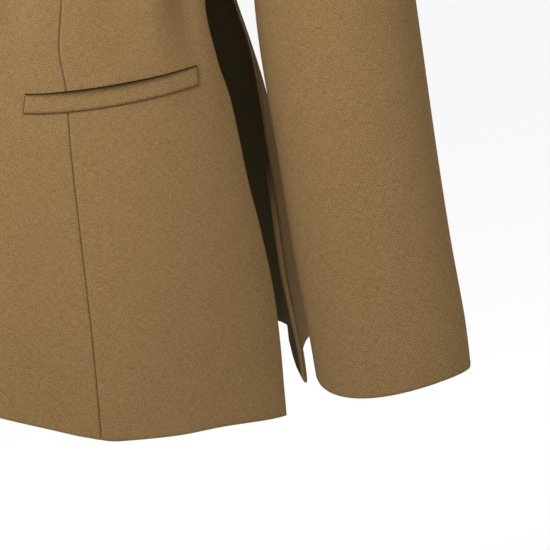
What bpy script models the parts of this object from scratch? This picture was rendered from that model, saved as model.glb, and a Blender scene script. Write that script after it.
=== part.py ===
"""A woman's single-breasted suit jacket, filled out and hollow, as thin walls of cloth.

Frame: +X is the wearer's left, -Y the front, +Z up. The origin lies between the two
shoulder neck points, where the wearer's shoulders carry the jacket. Sizes are in metres.

The body is one surface. A place on it is given by a face (front or back), a distance
along the cloth and a level. Up to the chest a level is a plain height. Above the chest
the levels from the chest to 0 lead up each column of cloth to the shoulder seam. Every
panel, lapel, welt, facing and lining is cut from that surface or moved off it.
"""

import functools
import math

import bpy
import numpy as np

# Thicknesses and the gap at a seam
CLOTH = 0.0020
SLEEVE_CLOTH = 0.0018
LINING_CLOTH = 0.0010
SEAM_GAP = 0.0003

# Main levels
HEM_LEVEL = -0.705
CHEST_LEVEL = -0.225
VENT_TOP = -0.330
BREAK_LEVEL = -0.362
SHOULDER_LEVEL = 0.0

# Shoulder and neck
NECK_HALF_WIDTH = 0.078
SHOULDER_SLOPE = 0.30
SHOULDER_SEAM_Y = 0.008
NECK_DROP = 0.018
NECK_POWER = 2.4
NECK_ROUNDING = 0.020
FRONT_RISE_POWER = 2.6
BACK_RISE_POWER = 3.0
ARMHOLE_BEND = 1.6

# Closing: the right front laps over the left one
OVERLAP = 0.015
UNDERLAP_DEPTH = 0.0038
UNDERLAP_START = OVERLAP + 0.004
UNDERLAP_FADE = 0.030
FRONT_CORNER_RADIUS = 0.030

FRONT_RINGS = [
    # level, half width, depth, power, widest y
    (-0.225, 0.222, 0.115, 2.30, 0.003),
    (-0.330, 0.208, 0.112, 2.30, 0.003),
    (-0.390, 0.214, 0.125, 2.35, 0.000),
    (-0.450, 0.232, 0.137, 2.40, 0.002),
    (-0.520, 0.252, 0.149, 2.40, 0.004),
    (-0.600, 0.270, 0.160, 2.40, 0.007),
    (-0.725, 0.288, 0.171, 2.40, 0.009),
]

BACK_RINGS = [
    # level, half width, depth, power, widest y
    (-0.225, 0.222, 0.106, 2.30, 0.003),
    (-0.330, 0.208, 0.098, 2.30, 0.003),
    (-0.370, 0.2165, 0.096, 2.30, 0.010),
    (-0.409, 0.229, 0.089, 2.30, 0.024),
    (-0.450, 0.2447, 0.075, 2.35, 0.050),
    (-0.487, 0.2572, 0.068, 2.40, 0.068),
    (-0.560, 0.2758, 0.066, 2.50, 0.086),
    (-0.640, 0.2905, 0.066, 2.60, 0.102),
    (-0.725, 0.3020, 0.066, 2.70, 0.116),
]
# How strongly the vent's flank is hollow before it reaches the widest point
FLANK_TURN = 0.6
FLANK_POWERS = (3.0, 8.0)

VENT_EDGES = [
    # level, x of the front's free edge, x and y of the back's free edge
    (-0.330, 0.2080, 0.2080, 0.0030),
    (-0.350, 0.2060, 0.2102, -0.0040),
    (-0.375, 0.2020, 0.2160, -0.0085),
    (-0.403, 0.1993, 0.2243, -0.0100),
    (-0.445, 0.2072, 0.2390, -0.0055),
    (-0.472, 0.2161, 0.2447, -0.0020),
    (-0.532, 0.2284, 0.2544, 0.0044),
    (-0.569, 0.2376, 0.2602, 0.0056),
    (-0.619, 0.2478, 0.2674, 0.0072),
    (-0.658, 0.2522, 0.2750, 0.0085),
    (-0.685, 0.2542, 0.2803, 0.0090),
    (-0.705, 0.2558, 0.2828, 0.0095),
    (-0.725, 0.2572, 0.2840, 0.0100),
]

PRINCESS_SEAM = [
    # level, x
    (0.000, 0.138),
    (-0.120, 0.108),
    (-0.225, 0.099),
    (-0.330, 0.094),
    (-0.395, 0.0931),
    (-0.428, 0.0907),
    (-0.455, 0.0948),
    (-0.498, 0.0974),
    (-0.543, 0.1014),
    (-0.637, 0.1102),
    (-0.725, 0.1166),
]

ARMHOLE = [
    # share of the way up, share of the rise to the shoulder, x on the chest ring
    (0.0, 0.000, 0.2220),
    (0.1, 0.004, 0.2196),
    (0.2, 0.020, 0.2120),
    (0.3, 0.065, 0.2010),
    (0.4, 0.150, 0.1925),
    (0.5, 0.275, 0.1872),
    (0.6, 0.420, 0.1850),
    (0.7, 0.570, 0.1855),
    (0.8, 0.720, 0.1885),
    (0.9, 0.870, 0.1955),
    (1.0, 1.000, 0.2070),
]

FRONT_HEM = [
    # x, height of the edge
    (-0.015, -0.666),
    (0.045, -0.6832),
    (0.080, -0.6930),
    (0.105, -0.7000),
    (0.128, -0.7043),
    (0.170, -0.7045),
    (0.204, -0.7033),
    (0.254, -0.7066),
]

BACK_HEM = [
    # distance from the vent edge, height of the edge
    (0.000, -0.7055),
    (0.020, -0.7050),
    (0.040, -0.7020),
    (0.060, -0.6945),
    (0.080, -0.6895),
    (0.110, -0.6870),
    (0.140, -0.6850),
    (0.400, -0.6800),
]

FRONT_FOLDS = [
    # distance from the centre, level, half width, half length, depth inward, lean
    (0.190, -0.375, 0.013, 0.060, 0.0042, -0.10),
    (0.162, -0.385, 0.011, 0.055, -0.0020, -0.06),
    (0.135, -0.360, 0.013, 0.050, 0.0026, 0.05),
    (0.062, -0.375, 0.012, 0.045, 0.0030, 0.12),
    (0.030, -0.400, 0.014, 0.060, -0.0022, 0.10),
    (0.150, -0.640, 0.050, 0.110, -0.0030, 0.00),
]

BACK_FOLDS = [
    # distance from the side, level, half width, half length, depth inward, lean
    (0.140, -0.720, 0.042, 0.200, -0.0090, 0.08),
    (0.070, -0.340, 0.014, 0.060, 0.0036, 0.10),
    (0.120, -0.330, 0.015, 0.070, 0.0042, -0.08),
    (0.185, -0.350, 0.014, 0.055, 0.0030, 0.05),
    (0.250, -0.700, 0.045, 0.150, 0.0050, 0.00),
]

SLEEVE = [
    # outer x and z, inner x and z, middle y, half depth, front drop, twist of the rim
    (0.2070, -0.0390, 0.2220, -0.2250, 0.004, 0.066, 0.0000, 0.0000),
    (0.2430, -0.0440, 0.2236, -0.2290, 0.004, 0.068, 0.0000, 0.0000),
    (0.2760, -0.0660, 0.2252, -0.2350, 0.003, 0.068, 0.0000, 0.0000),
    (0.3010, -0.1100, 0.2266, -0.2460, 0.000, 0.066, 0.0000, 0.0000),
    (0.3186, -0.1750, 0.2278, -0.2700, -0.004, 0.063, 0.0000, 0.0000),
    (0.3364, -0.2700, 0.2302, -0.3180, -0.012, 0.059, 0.0000, 0.0000),
    (0.3553, -0.4000, 0.2382, -0.4195, -0.030, 0.053, 0.0020, 0.0000),
    (0.3688, -0.5000, 0.2532, -0.5165, -0.041, 0.048, 0.0030, 0.0017),
    (0.3810, -0.5780, 0.2648, -0.5930, -0.045, 0.044, 0.0042, 0.0034),
    (0.3941, -0.6480, 0.2773, -0.6600, -0.046, 0.040, 0.0062, 0.0062),
    (0.3988, -0.6818, 0.2822, -0.6885, -0.045, 0.038, 0.0078, 0.0084),
]

SLEEVE_FOLDS = [
    # share of the run, angle round the sleeve, half length, half angle, depth inward, lean
    (0.22, 150.0, 0.060, 26.0, 0.0050, 60.0),
    (0.30, 110.0, 0.060, 24.0, 0.0034, 80.0),
    (0.33, 235.0, 0.060, 28.0, 0.0046, -60.0),
    (0.50, 165.0, 0.050, 30.0, 0.0036, 40.0),
    (0.56, 215.0, 0.055, 26.0, 0.0040, -50.0),
]

# Angles round a sleeve: 0 outside, 90 front, 180 inside, 270 back
BACK_SLEEVE_SEAM = -54.0
FRONT_SLEEVE_SEAM = 198.0
CAP_BLEND_RUN = 0.22
SLEEVE_FOLD_START = 0.12
ARMHOLE_GAP = 0.0008

NECK_SHARE = 0.62
GORGE_SHARE = 0.82
GORGE_GAP = 0.0008
COLLAR = [
    # share of the way from the centre back, crest x y z, edge x y z
    (0.00, 0.0000, 0.0720, 0.0200, 0.0000, 0.1120, -0.0420),
    (0.25, 0.0350, 0.0640, 0.0235, 0.0590, 0.1000, -0.0400),
    (0.45, 0.0600, 0.0390, 0.0300, 0.0990, 0.0650, -0.0240),
    (0.62, 0.0690, 0.0080, 0.0310, 0.1190, 0.0060, -0.0035),
    (0.80, 0.0690, -0.0400, 0.0130, 0.1210, -0.0560, -0.0280),
    (0.93, 0.0650, -0.0700, -0.0300, 0.1160, -0.0900, -0.0600),
    (1.00, 0.0600, -0.0850, -0.0550, 0.1000, -0.1000, -0.0820),
]
COLLAR_ROLL = 0.0030
COLLAR_TURNS = (178.0, 110.0, 45.0)
COLLAR_SHARES = (
    (0.00, 0.08, 0.16, 0.25, 0.33, 0.40, 0.46, 0.52)
    + (0.57, 0.62, 0.67, 0.73, 0.80, 0.87, 0.93, 1.00)
)

LAPEL = [
    # share of the way up the roll line, x and z of the outer edge
    (0.00, 0.004, -0.352),
    (0.15, 0.034, -0.322),
    (0.40, 0.082, -0.245),
    (0.65, 0.121, -0.165),
    (0.88, 0.143, -0.104),
    (1.00, 0.100, -0.0820),
]
LAPEL_TIP_SHARE = 0.88
ROLL_TOP_LEVEL = -0.055
ROLL_TOP_X = 0.0600
LAPEL_CLOTH = 0.0016
LAPEL_ROLL = 0.0022
LAPEL_LIFT = 0.0056
LAPEL_TURNS = (-80.0, -30.0, 30.0, 85.0)
LAPEL_WIDTHS = (0.16, 0.36, 0.58, 0.80, 1.00)
LEFT_LAPEL_START = 0.10
TUCK_CLEARANCE = 0.0100
TUCK_LIFT = 0.0022
TUCK_FADE = 2.0
TUCK_LEAST = 0.3
LAPEL_ROWS = 11

# Welt pocket: the two ends of its upper and lower edges on the front
WELT_CLOTH = 0.0012
WELT_LIFT = 0.0005
WELT_UPPER = ((0.0662, -0.4584), (0.1898, -0.4466))
WELT_LOWER = ((0.0643, -0.4713), (0.1906, -0.4602))
WELT_UPPER_SAG = 0.0025
WELT_LOWER_SAG = 0.0036
WELT_SAG_POWER = 0.8

# Vent facing and the lining behind it
FACING_COLUMNS = 3
FACING_SETBACK = 0.0012
FACING_CLOTH = 0.0012
INNER_LAYER_DROP = [
    # distance from the vent edge, how far the inner layer falls away from the back
    (0.000, 0.0000),
    (0.020, 0.0004),
    (0.040, 0.0026),
    (0.060, 0.0065),
    (0.080, 0.0125),
    (0.095, 0.0160),
    (0.110, 0.0170),
    (0.130, 0.0120),
    (0.150, 0.0060),
    (0.200, 0.0025),
    (0.420, 0.0010),
]
INNER_LAYER_FALL = 1.15
INNER_LAYER_START = VENT_TOP - 0.004
LINING_FIRST_ROW = 1

BUTTON_RADIUS = 0.0105
BUTTON_THICKNESS = 0.0036
BUTTON_DROP = 0.010
BUTTON_DISH = 0.58
BUTTON_SIDES = 28

# Grid sizes: rows below and above the chest, and columns of each panel
ROWS_BELOW = 15
ROWS_ABOVE = 10
FRONT_COLUMNS = 7
SIDE_FRONT_COLUMNS = 8
BACK_COLUMNS = 13
SLEEVE_ROWS = 19
WELT_COLUMNS = 14
WELT_ROWS = 2

# Powers that space rows and columns closer together at one end
RISE_SPACING = 1.15
BACK_COLUMN_SPACING = 1.15
SLEEVE_ROW_SPACING = 1.12

# Steps at which directions on lines and surfaces are taken, and points on a line
LINE_STEP = 0.002
SURFACE_STEP = 0.0012
SLEEVE_TURN_STEP = 0.8
SLEEVE_RUN_STEP = 0.004
LINE_POINTS = 500
FLANK_POINTS = 120
FRONT_START_ANGLE = -0.12 * math.pi
SHARP_ANGLE = 50.0

CLOTH_COLOUR = (0.224, 0.135, 0.057)
LINING_COLOUR = (0.030, 0.022, 0.014)
BUTTON_COLOUR = (0.060, 0.036, 0.018)


def clear_scene():
    """Remove every object that the file starts with."""
    for item in list(bpy.data.objects):
        bpy.data.objects.remove(item, do_unlink=True)


def column(rows, index):
    """One column of a table as a numpy array."""
    return np.array([row[index] for row in rows], dtype=float)


def smooth_value(keys, values, key):
    """Monotone cubic interpolation of values over rising keys."""
    key = float(min(max(key, keys[0]), keys[-1]))
    steps = np.diff(keys)
    slopes = np.diff(values) / steps
    tangents = np.zeros(len(keys))
    tangents[0] = slopes[0]
    tangents[-1] = slopes[-1]
    for i in range(1, len(keys) - 1):
        if slopes[i - 1] * slopes[i] > 0.0:
            before = steps[i - 1] + 2.0 * steps[i]
            after = 2.0 * steps[i - 1] + steps[i]
            tangents[i] = (before + after) / (before / slopes[i] + after / slopes[i - 1])
    i = int(min(np.searchsorted(keys, key, side="right") - 1, len(keys) - 2))
    step = steps[i]
    u = (key - keys[i]) / step
    return float(
        (2 * u**3 - 3 * u**2 + 1) * values[i]
        + (u**3 - 2 * u**2 + u) * step * tangents[i]
        + (3 * u**2 - 2 * u**3) * values[i + 1]
        + (u**3 - u**2) * step * tangents[i + 1]
    )


class Table:
    """A short table whose columns are read smoothly against its first column."""

    def __init__(self, rows):
        rows = sorted(rows, key=lambda row: row[0])
        self.keys = column(rows, 0)
        self.columns = [column(rows, i) for i in range(1, len(rows[0]))]

    def read(self, key):
        """Values of all columns at a key."""
        return [smooth_value(self.keys, values, key) for values in self.columns]


FRONT_RING_TABLE = Table(FRONT_RINGS)
BACK_RING_TABLE = Table(BACK_RINGS)
VENT_TABLE = Table(VENT_EDGES)
PRINCESS_TABLE = Table(PRINCESS_SEAM)
ARMHOLE_TABLE = Table(ARMHOLE)
FRONT_HEM_TABLE = Table(FRONT_HEM)
BACK_HEM_TABLE = Table(BACK_HEM)
SLEEVE_RUNS = [(i / (len(SLEEVE) - 1.0),) + row for i, row in enumerate(SLEEVE)]
SLEEVE_TABLE = Table(SLEEVE_RUNS)
COLLAR_TABLE = Table(COLLAR)
LAPEL_TABLE = Table(LAPEL)
INNER_LAYER_TABLE = Table(INNER_LAYER_DROP)


def ease(value):
    """Smooth step from 0 to 1."""
    value = min(max(value, 0.0), 1.0)
    return value * value * (3.0 - 2.0 * value)


def unit(vector):
    """The vector at length 1."""
    return vector / np.linalg.norm(vector)


class Line:
    """A dense plan line that is read by the distance along it."""

    def __init__(self, points):
        self.points = points
        lengths = np.linalg.norm(np.diff(points, axis=0), axis=1)
        self.reach = np.concatenate([[0.0], np.cumsum(lengths)])

    def place(self, distance):
        """Plan point at a distance."""
        x = np.interp(distance, self.reach, self.points[:, 0])
        y = np.interp(distance, self.reach, self.points[:, 1])
        return np.array([x, y])

    def at(self, distance):
        """Plan point at a distance, and the direction in which the line runs there."""
        before = self.place(max(distance - LINE_STEP, 0.0))
        after = self.place(min(distance + LINE_STEP, self.reach[-1]))
        return self.place(distance), unit(after - before)


@functools.lru_cache(maxsize=None)
def front_line(level):
    """Front half of a ring, from beyond the centre front to its widest point."""
    half_width, depth, power, widest_y = FRONT_RING_TABLE.read(level)
    angles = np.linspace(FRONT_START_ANGLE, 0.5 * math.pi, LINE_POINTS)
    x = half_width * np.sign(np.sin(angles)) * np.abs(np.sin(angles)) ** (2.0 / power)
    y = widest_y - depth * np.cos(angles) ** (2.0 / power)
    y[-1] = widest_y
    return Line(np.stack([x, y], axis=1))


@functools.lru_cache(maxsize=None)
def back_line(level):
    """Back half of a ring, from the side seam or vent edge to the centre back."""
    half_width, depth, power, widest_y = BACK_RING_TABLE.read(level)
    angles = np.linspace(0.5 * math.pi, 0.0, LINE_POINTS)
    x = half_width * np.sin(angles) ** (2.0 / power)
    y = widest_y + depth * np.cos(angles) ** (2.0 / power)
    y[0] = widest_y
    points = np.stack([x, y], axis=1)
    if level < VENT_TOP:
        _, edge_x, edge_y = VENT_TABLE.read(level)
        share = np.linspace(0.0, 1.0, FLANK_POINTS)[:-1]
        flank_y = edge_y + (widest_y - edge_y) * share
        flank_x = edge_x + (half_width - edge_x) * flank_share(share)
        points = np.concatenate([np.stack([flank_x, flank_y], axis=1), points])
    return Line(points)


def flank_share(share):
    """How far the vent's flank has come out, at a share of its way to the widest point.

    It starts straight back, turns out and ends straight back again.
    """
    first, last = FLANK_POWERS
    return (1.0 + FLANK_TURN) * share**first - FLANK_TURN * share**last


def front_distance(level, x):
    """Distance along the front ring at which it reaches x."""
    line = front_line(min(level, CHEST_LEVEL))
    x = min(x, line.points[-1, 0])
    return float(np.interp(x, line.points[:, 0], line.reach))


def back_distance(level, x):
    """Distance along the back ring, behind its widest point, at which it narrows to x."""
    line = back_line(min(level, CHEST_LEVEL))
    widest = int(np.argmax(line.points[:, 0]))
    x = min(x, line.points[widest, 0])
    return float(np.interp(-x, -line.points[widest:, 0], line.reach[widest:]))


def shoulder_height(x):
    """Height of the shoulder seam's line above x, rounded over at the centre."""
    rounded = math.hypot(x, NECK_ROUNDING) - math.hypot(NECK_HALF_WIDTH, NECK_ROUNDING)
    return -SHOULDER_SLOPE * rounded


def fold_depth(folds, distance, level):
    """How far soft folds press the cloth inward at a place."""
    depth = 0.0
    for centre, height, half_width, half_length, amount, lean in folds:
        across = (distance - centre - lean * (level - height)) / half_width
        along = (level - height) / half_length
        depth += amount * math.exp(-across * across - along * along)
    return depth


def ring_line(face, level):
    """The ring of a face that carries a level."""
    level = min(level, CHEST_LEVEL)
    return front_line(level) if face == "front" else back_line(level)


def surface(face, distance, level):
    """Point of the body's outer surface.

    face is "front" or "back". distance runs along the ring from its start, which lies
    beyond the centre front, or at the side seam or vent edge. level is a height up to
    the chest; above it, the levels up to 0 lead to the shoulder seam.
    """
    (x, y), along = ring_line(face, level).at(distance)
    if face == "front":
        press = fold_depth(FRONT_FOLDS, distance - front_distance(level, 0.0), level)
    else:
        press = fold_depth(BACK_FOLDS, distance, level)
    x -= press * along[1]
    y += press * along[0]
    if level <= CHEST_LEVEL:
        return np.array([x, y, level])
    rise = 1.0 - level / CHEST_LEVEL
    power = FRONT_RISE_POWER if face == "front" else BACK_RISE_POWER
    fullness = math.sqrt(max(1.0 - rise**power, 0.0))
    height = CHEST_LEVEL + rise * (shoulder_height(x) - CHEST_LEVEL)
    return np.array([x, SHOULDER_SEAM_Y + (y - SHOULDER_SEAM_Y) * fullness, height])


def surface_normal(face, distance, level):
    """Outward normal of the body's outer surface."""
    before = surface(face, distance - SURFACE_STEP, level)
    across = surface(face, distance + SURFACE_STEP, level) - before
    if level > -1e-6:
        along = np.array([0.0, 1.0 if face == "front" else -1.0, 0.0])
    else:
        climb = min(SURFACE_STEP, -0.5 * level)
        along = surface(face, distance, level + climb) - surface(face, distance, level - climb)
    return unit(np.cross(across, along))


def offset_grid(face, places, lift):
    """Points of a grid of places, moved off the surface by a lift at each place."""
    grid = []
    for row in places:
        points = []
        for distance, level in row:
            away = lift(distance, level) if callable(lift) else lift
            normal = surface_normal(face, distance, level)
            points.append(surface(face, distance, level) + normal * away)
        grid.append(points)
    return np.array(grid)


def front_y(x, z):
    """Depth of the front surface at a place of the front view."""
    if z <= CHEST_LEVEL:
        return surface("front", front_distance(z, x), z)[1]
    rise = (z - CHEST_LEVEL) / (shoulder_height(x) - CHEST_LEVEL)
    level = CHEST_LEVEL + min(rise, 1.0) * (SHOULDER_LEVEL - CHEST_LEVEL)
    return surface("front", front_distance(CHEST_LEVEL, x), level)[1]


def roll_x(level):
    """x of the line along which the lapel turns over, read in the front view."""
    share = (level - BREAK_LEVEL) / (ROLL_TOP_LEVEL - BREAK_LEVEL)
    return -OVERLAP + share * (ROLL_TOP_X + OVERLAP)


def front_edge_x(level):
    """x of the front's free edge: straight, then the roll line up to the neck."""
    if level <= BREAK_LEVEL:
        return -OVERLAP
    if level <= CHEST_LEVEL:
        return roll_x(level)
    share = (level - CHEST_LEVEL) / (SHOULDER_LEVEL - CHEST_LEVEL)
    start = roll_x(CHEST_LEVEL)
    slope = (ROLL_TOP_X - start) / (ROLL_TOP_LEVEL - CHEST_LEVEL) * (SHOULDER_LEVEL - CHEST_LEVEL)
    bend = NECK_HALF_WIDTH - start - slope
    return start + slope * share + bend * share**3


def neck_share(x):
    """Share of the rise to the shoulder line at which the back neck is cut."""
    if x >= NECK_HALF_WIDTH:
        return 1.0
    neck_height = -NECK_DROP * (1.0 - (abs(x) / NECK_HALF_WIDTH) ** NECK_POWER)
    return (neck_height - CHEST_LEVEL) / (shoulder_height(x) - CHEST_LEVEL)


def panel(face, left, right, hem, shares, neck=False, armhole=False):
    """Places (distance, level) of a body panel's grid, hem row first.

    left and right give a distance along the ring at a level, hem gives the level of the
    edge at a distance. An armhole bends the rows up along its side of the grid.
    """
    half_gap = 0.5 * SEAM_GAP
    reach = front_distance if face == "front" else back_distance
    places = []
    for row in range(-ROWS_BELOW, ROWS_ABOVE + 1):
        line = []
        for share in shares:
            if row <= 0:
                foot = left(HEM_LEVEL) + share * (right(HEM_LEVEL) - left(HEM_LEVEL))
                level = CHEST_LEVEL + (CHEST_LEVEL - hem(foot)) * row / ROWS_BELOW
                start, end = left(level), right(level)
            else:
                way = row / ROWS_ABOVE
                rise = math.sin(0.5 * math.pi * way) ** RISE_SPACING
                level = CHEST_LEVEL * (1.0 - rise)
                start, end = left(level), right(level)
                if armhole:
                    edge_rise, edge_x = ARMHOLE_TABLE.read(way)
                    outer = share if face == "front" else 1.0 - share
                    mixed = rise + (edge_rise - rise) * outer**ARMHOLE_BEND
                    level = CHEST_LEVEL * (1.0 - mixed)
                    start, end = left(level), right(level)
                    if face == "front":
                        end = reach(CHEST_LEVEL, edge_x)
                    else:
                        start = reach(CHEST_LEVEL, edge_x)
                if neck:
                    x = surface(face, start + share * (end - start), CHEST_LEVEL)[0]
                    level = CHEST_LEVEL * (1.0 - (1.0 - level / CHEST_LEVEL) * neck_share(x))
            inset = half_gap * (1.0 - 2.0 * share)
            line.append((start + share * (end - start) + inset, level))
        places.append(line)
    return places


def even_shares(count):
    """Evenly spaced shares from 0 to 1."""
    return [i / count for i in range(count + 1)]


def body_wall(face, places, thickness, lift=0.0):
    """Outer and inner points of a wall that follows the body's surface."""
    outer = offset_grid(face, places, lift)
    if callable(lift):
        inner = offset_grid(face, places, lambda d, level: lift(d, level) - thickness)
    else:
        inner = offset_grid(face, places, lift - thickness)
    return outer, inner


def draw_back_last_row(outer, inner):
    """End a wall half a seam's gap before its last row."""
    step = outer[-2] - outer[-1]
    step = step / np.linalg.norm(step, axis=1, keepdims=True) * 0.5 * SEAM_GAP
    outer[-1] += step
    inner[-1] += step


def normals(grid):
    """Unit normals of a grid of points, from rows and columns."""
    across = np.gradient(grid, axis=1)
    along = np.gradient(grid, axis=0)
    normal = np.cross(across, along)
    return normal / np.linalg.norm(normal, axis=2, keepdims=True)


def wall_mesh(outer, inner):
    """Vertices and faces of a closed wall between two grids, outer side outward."""
    rows, columns = outer.shape[:2]
    vertices = np.concatenate([outer.reshape(-1, 3), inner.reshape(-1, 3)])
    offset = rows * columns
    faces = []
    for r in range(rows - 1):
        for c in range(columns - 1):
            a = r * columns + c
            b = a + 1
            d = a + columns
            e = d + 1
            faces.append((a, b, e, d))
            faces.append((offset + a, offset + d, offset + e, offset + b))
    rim = [(0, c) for c in range(columns)]
    rim += [(r, columns - 1) for r in range(1, rows)]
    rim += [(rows - 1, c) for c in range(columns - 2, -1, -1)]
    rim += [(r, 0) for r in range(rows - 2, 0, -1)]
    for (r0, c0), (r1, c1) in zip(rim, rim[1:] + rim[:1]):
        a = r0 * columns + c0
        b = r1 * columns + c1
        faces.append((a, offset + a, offset + b, b))
    return vertices, faces


def make_object(name, vertices, faces, material, mirrored=False):
    """Turn vertices and faces into a named object, mirrored across x if asked."""
    points = np.array(vertices)
    if mirrored:
        points = points * np.array([-1.0, 1.0, 1.0])
        faces = [tuple(reversed(face)) for face in faces]
    mesh = bpy.data.meshes.new(name)
    mesh.from_pydata([tuple(p) for p in points], [], faces)
    mesh.update()
    mesh.shade_smooth()
    mesh.set_sharp_from_angle(angle=math.radians(SHARP_ANGLE))
    item = bpy.data.objects.new(name, mesh)
    bpy.context.scene.collection.objects.link(item)
    mesh.materials.append(material)
    return item


def make_material(name, colour, roughness):
    """A plain Principled material."""
    material = bpy.data.materials.new(name)
    material.use_nodes = True
    shader = material.node_tree.nodes["Principled BSDF"]
    shader.inputs["Base Color"].default_value = (*colour, 1.0)
    shader.inputs["Roughness"].default_value = roughness
    shader.inputs["Metallic"].default_value = 0.0
    material.diffuse_color = (*colour, 1.0)
    return material


def cloth_material(name):
    """A fresh material of the jacket's cloth."""
    return make_material(name + "_cloth", CLOTH_COLOUR, 0.85)


def add_wall(name, outer, inner, mirrored=False, material=None):
    """Make a wall between two grids of points."""
    vertices, faces = wall_mesh(outer, inner)
    return make_object(name, vertices, faces, material or cloth_material(name), mirrored)


def princess_distance(level):
    """Distance of the princess seam along the front ring."""
    return front_distance(level, PRINCESS_TABLE.read(level)[0])


def front_edge_distance(level):
    """Distance of the front's free edge along the front ring."""
    return front_distance(level, front_edge_x(level))


def vent_distance(level):
    """Distance of the side seam or of the front's vent edge along the front ring."""
    line = front_line(min(level, CHEST_LEVEL))
    if level >= VENT_TOP:
        return float(line.reach[-1])
    return front_distance(level, VENT_TABLE.read(level)[0])


def centre_back_distance(level):
    """Length of the back ring, from its side to the centre back."""
    return float(back_line(min(level, CHEST_LEVEL)).reach[-1])


def front_hem_level(distance):
    """Level of the front hem, rounded at the front corner by a circle."""
    x = surface("front", distance, HEM_LEVEL)[0]
    level = FRONT_HEM_TABLE.read(x)[0]
    from_edge = distance - front_distance(HEM_LEVEL, 0.0) + OVERLAP
    inside = min(max(from_edge, 0.0), FRONT_CORNER_RADIUS)
    short = FRONT_CORNER_RADIUS - inside
    return level + FRONT_CORNER_RADIUS - math.sqrt(max(FRONT_CORNER_RADIUS**2 - short**2, 0.0))


def back_hem_level(distance):
    """Level of the back hem at a distance from the vent edge."""
    return BACK_HEM_TABLE.read(distance)[0]


def underlap(grid):
    """Press the left front inward near the centre, so the right front laps over it."""
    moved = grid.copy()
    for point in moved.reshape(-1, 3):
        fade = 1.0 - ease((point[0] - UNDERLAP_START) / UNDERLAP_FADE)
        point[1] += UNDERLAP_DEPTH * fade
    return moved


def build_fronts():
    """Front and side front panels of both sides."""
    front_places = panel(
        "front",
        front_edge_distance,
        princess_distance,
        front_hem_level,
        even_shares(FRONT_COLUMNS),
    )
    side_places = panel(
        "front",
        princess_distance,
        vent_distance,
        front_hem_level,
        even_shares(SIDE_FRONT_COLUMNS),
        armhole=True,
    )
    front = body_wall("front", front_places, CLOTH)
    side = body_wall("front", side_places, CLOTH)
    draw_back_last_row(*front)
    draw_back_last_row(*side)
    add_wall("left_front", underlap(front[0]), underlap(front[1]))
    add_wall("right_front", *front, mirrored=True)
    add_wall("left_side_front", *side)
    add_wall("right_side_front", *side, mirrored=True)


def back_places():
    """Places of the back panel, closer together near the vent edge."""
    shares = [(i / BACK_COLUMNS) ** BACK_COLUMN_SPACING for i in range(BACK_COLUMNS + 1)]
    return panel(
        "back",
        lambda level: 0.0,
        centre_back_distance,
        back_hem_level,
        shares,
        neck=True,
        armhole=True,
    )


def build_backs():
    """Both back panels, joined at the centre back seam."""
    back = body_wall("back", back_places(), CLOTH)
    draw_back_last_row(*back)
    add_wall("left_back", *back)
    add_wall("right_back", *back, mirrored=True)


def inner_layer_lift(distance, level):
    """How far the layer inside the back lies from its outer surface."""
    drop = INNER_LAYER_TABLE.read(distance)[0]
    drop *= ease((VENT_TOP - level) / (VENT_TOP - HEM_LEVEL) * INNER_LAYER_FALL)
    return -(CLOTH + SEAM_GAP + drop)


def build_vents():
    """Facings turned in at the backs' vent edges and the lining behind them."""
    rows = [row for row in back_places() if row[0][1] < INNER_LAYER_START]
    facing_rows = [row[: FACING_COLUMNS + 1] for row in rows]
    lining_rows = [row[FACING_COLUMNS:] for row in rows[LINING_FIRST_ROW:]]
    for row in facing_rows:
        row[0] = (row[0][0] + FACING_SETBACK, row[0][1])
    for row in lining_rows:
        row[0] = (row[0][0] + SEAM_GAP, row[0][1])
    facing = body_wall("back", facing_rows, FACING_CLOTH, inner_layer_lift)
    lining = body_wall("back", lining_rows, LINING_CLOTH, inner_layer_lift)
    for side, mirrored in (("left", False), ("right", True)):
        add_wall(side + "_vent_facing", *facing, mirrored)
        name = side + "_back_lining"
        satin = make_material(name + "_satin", LINING_COLOUR, 0.45)
        add_wall(name, *lining, mirrored, satin)


def armhole_point(portion, face):
    """Point of the armhole's rim at a portion of the way up."""
    rise, x = ARMHOLE_TABLE.read(portion)
    level = CHEST_LEVEL * (1.0 - rise)
    reach = front_distance if face == "front" else back_distance
    distance = reach(CHEST_LEVEL, x)
    return surface(face, distance, level)


def armhole_ring(angle):
    """Point of the armhole's rim at an angle round the sleeve in degrees."""
    angle = angle % 360.0
    if angle <= 180.0:
        return armhole_point(1.0 - angle / 180.0, "front")
    return armhole_point(angle / 180.0 - 1.0, "back")


def sleeve_section(run, angle):
    """Point of the sleeve's plain section at a share of its run and an angle."""
    values = SLEEVE_TABLE.read(run)
    outer_x, outer_z, inner_x, inner_z, middle_y, half_depth, drop, twist = values
    outer = np.array([outer_x, middle_y, outer_z])
    inner = np.array([inner_x, middle_y, inner_z])
    cosine, sine = math.cos(math.radians(angle)), math.sin(math.radians(angle))
    front = np.array([0.0, -half_depth, twist * cosine - drop])
    return 0.5 * (outer + inner) + cosine * 0.5 * (outer - inner) + sine * front


def sleeve_point(run, angle):
    """Outer point of the sleeve, led into the armhole's rim and pressed by soft folds."""
    point = sleeve_section(run, angle)
    lead = 1.0 - ease(run / CAP_BLEND_RUN)
    point = point + (armhole_ring(angle) - sleeve_section(0.0, angle)) * lead
    centre = 0.5 * (sleeve_section(run, 0.0) + sleeve_section(run, 180.0))
    inward = unit(centre - point)
    press = 0.0
    for share, middle, half_length, half_angle, amount, lean in SLEEVE_FOLDS:
        along = (run - share) / half_length
        around = ((angle % 360.0) - middle - lean * (run - share)) / half_angle
        press += amount * math.exp(-along * along - around * around)
    return point + inward * press * ease(run / SLEEVE_FOLD_START)


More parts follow.
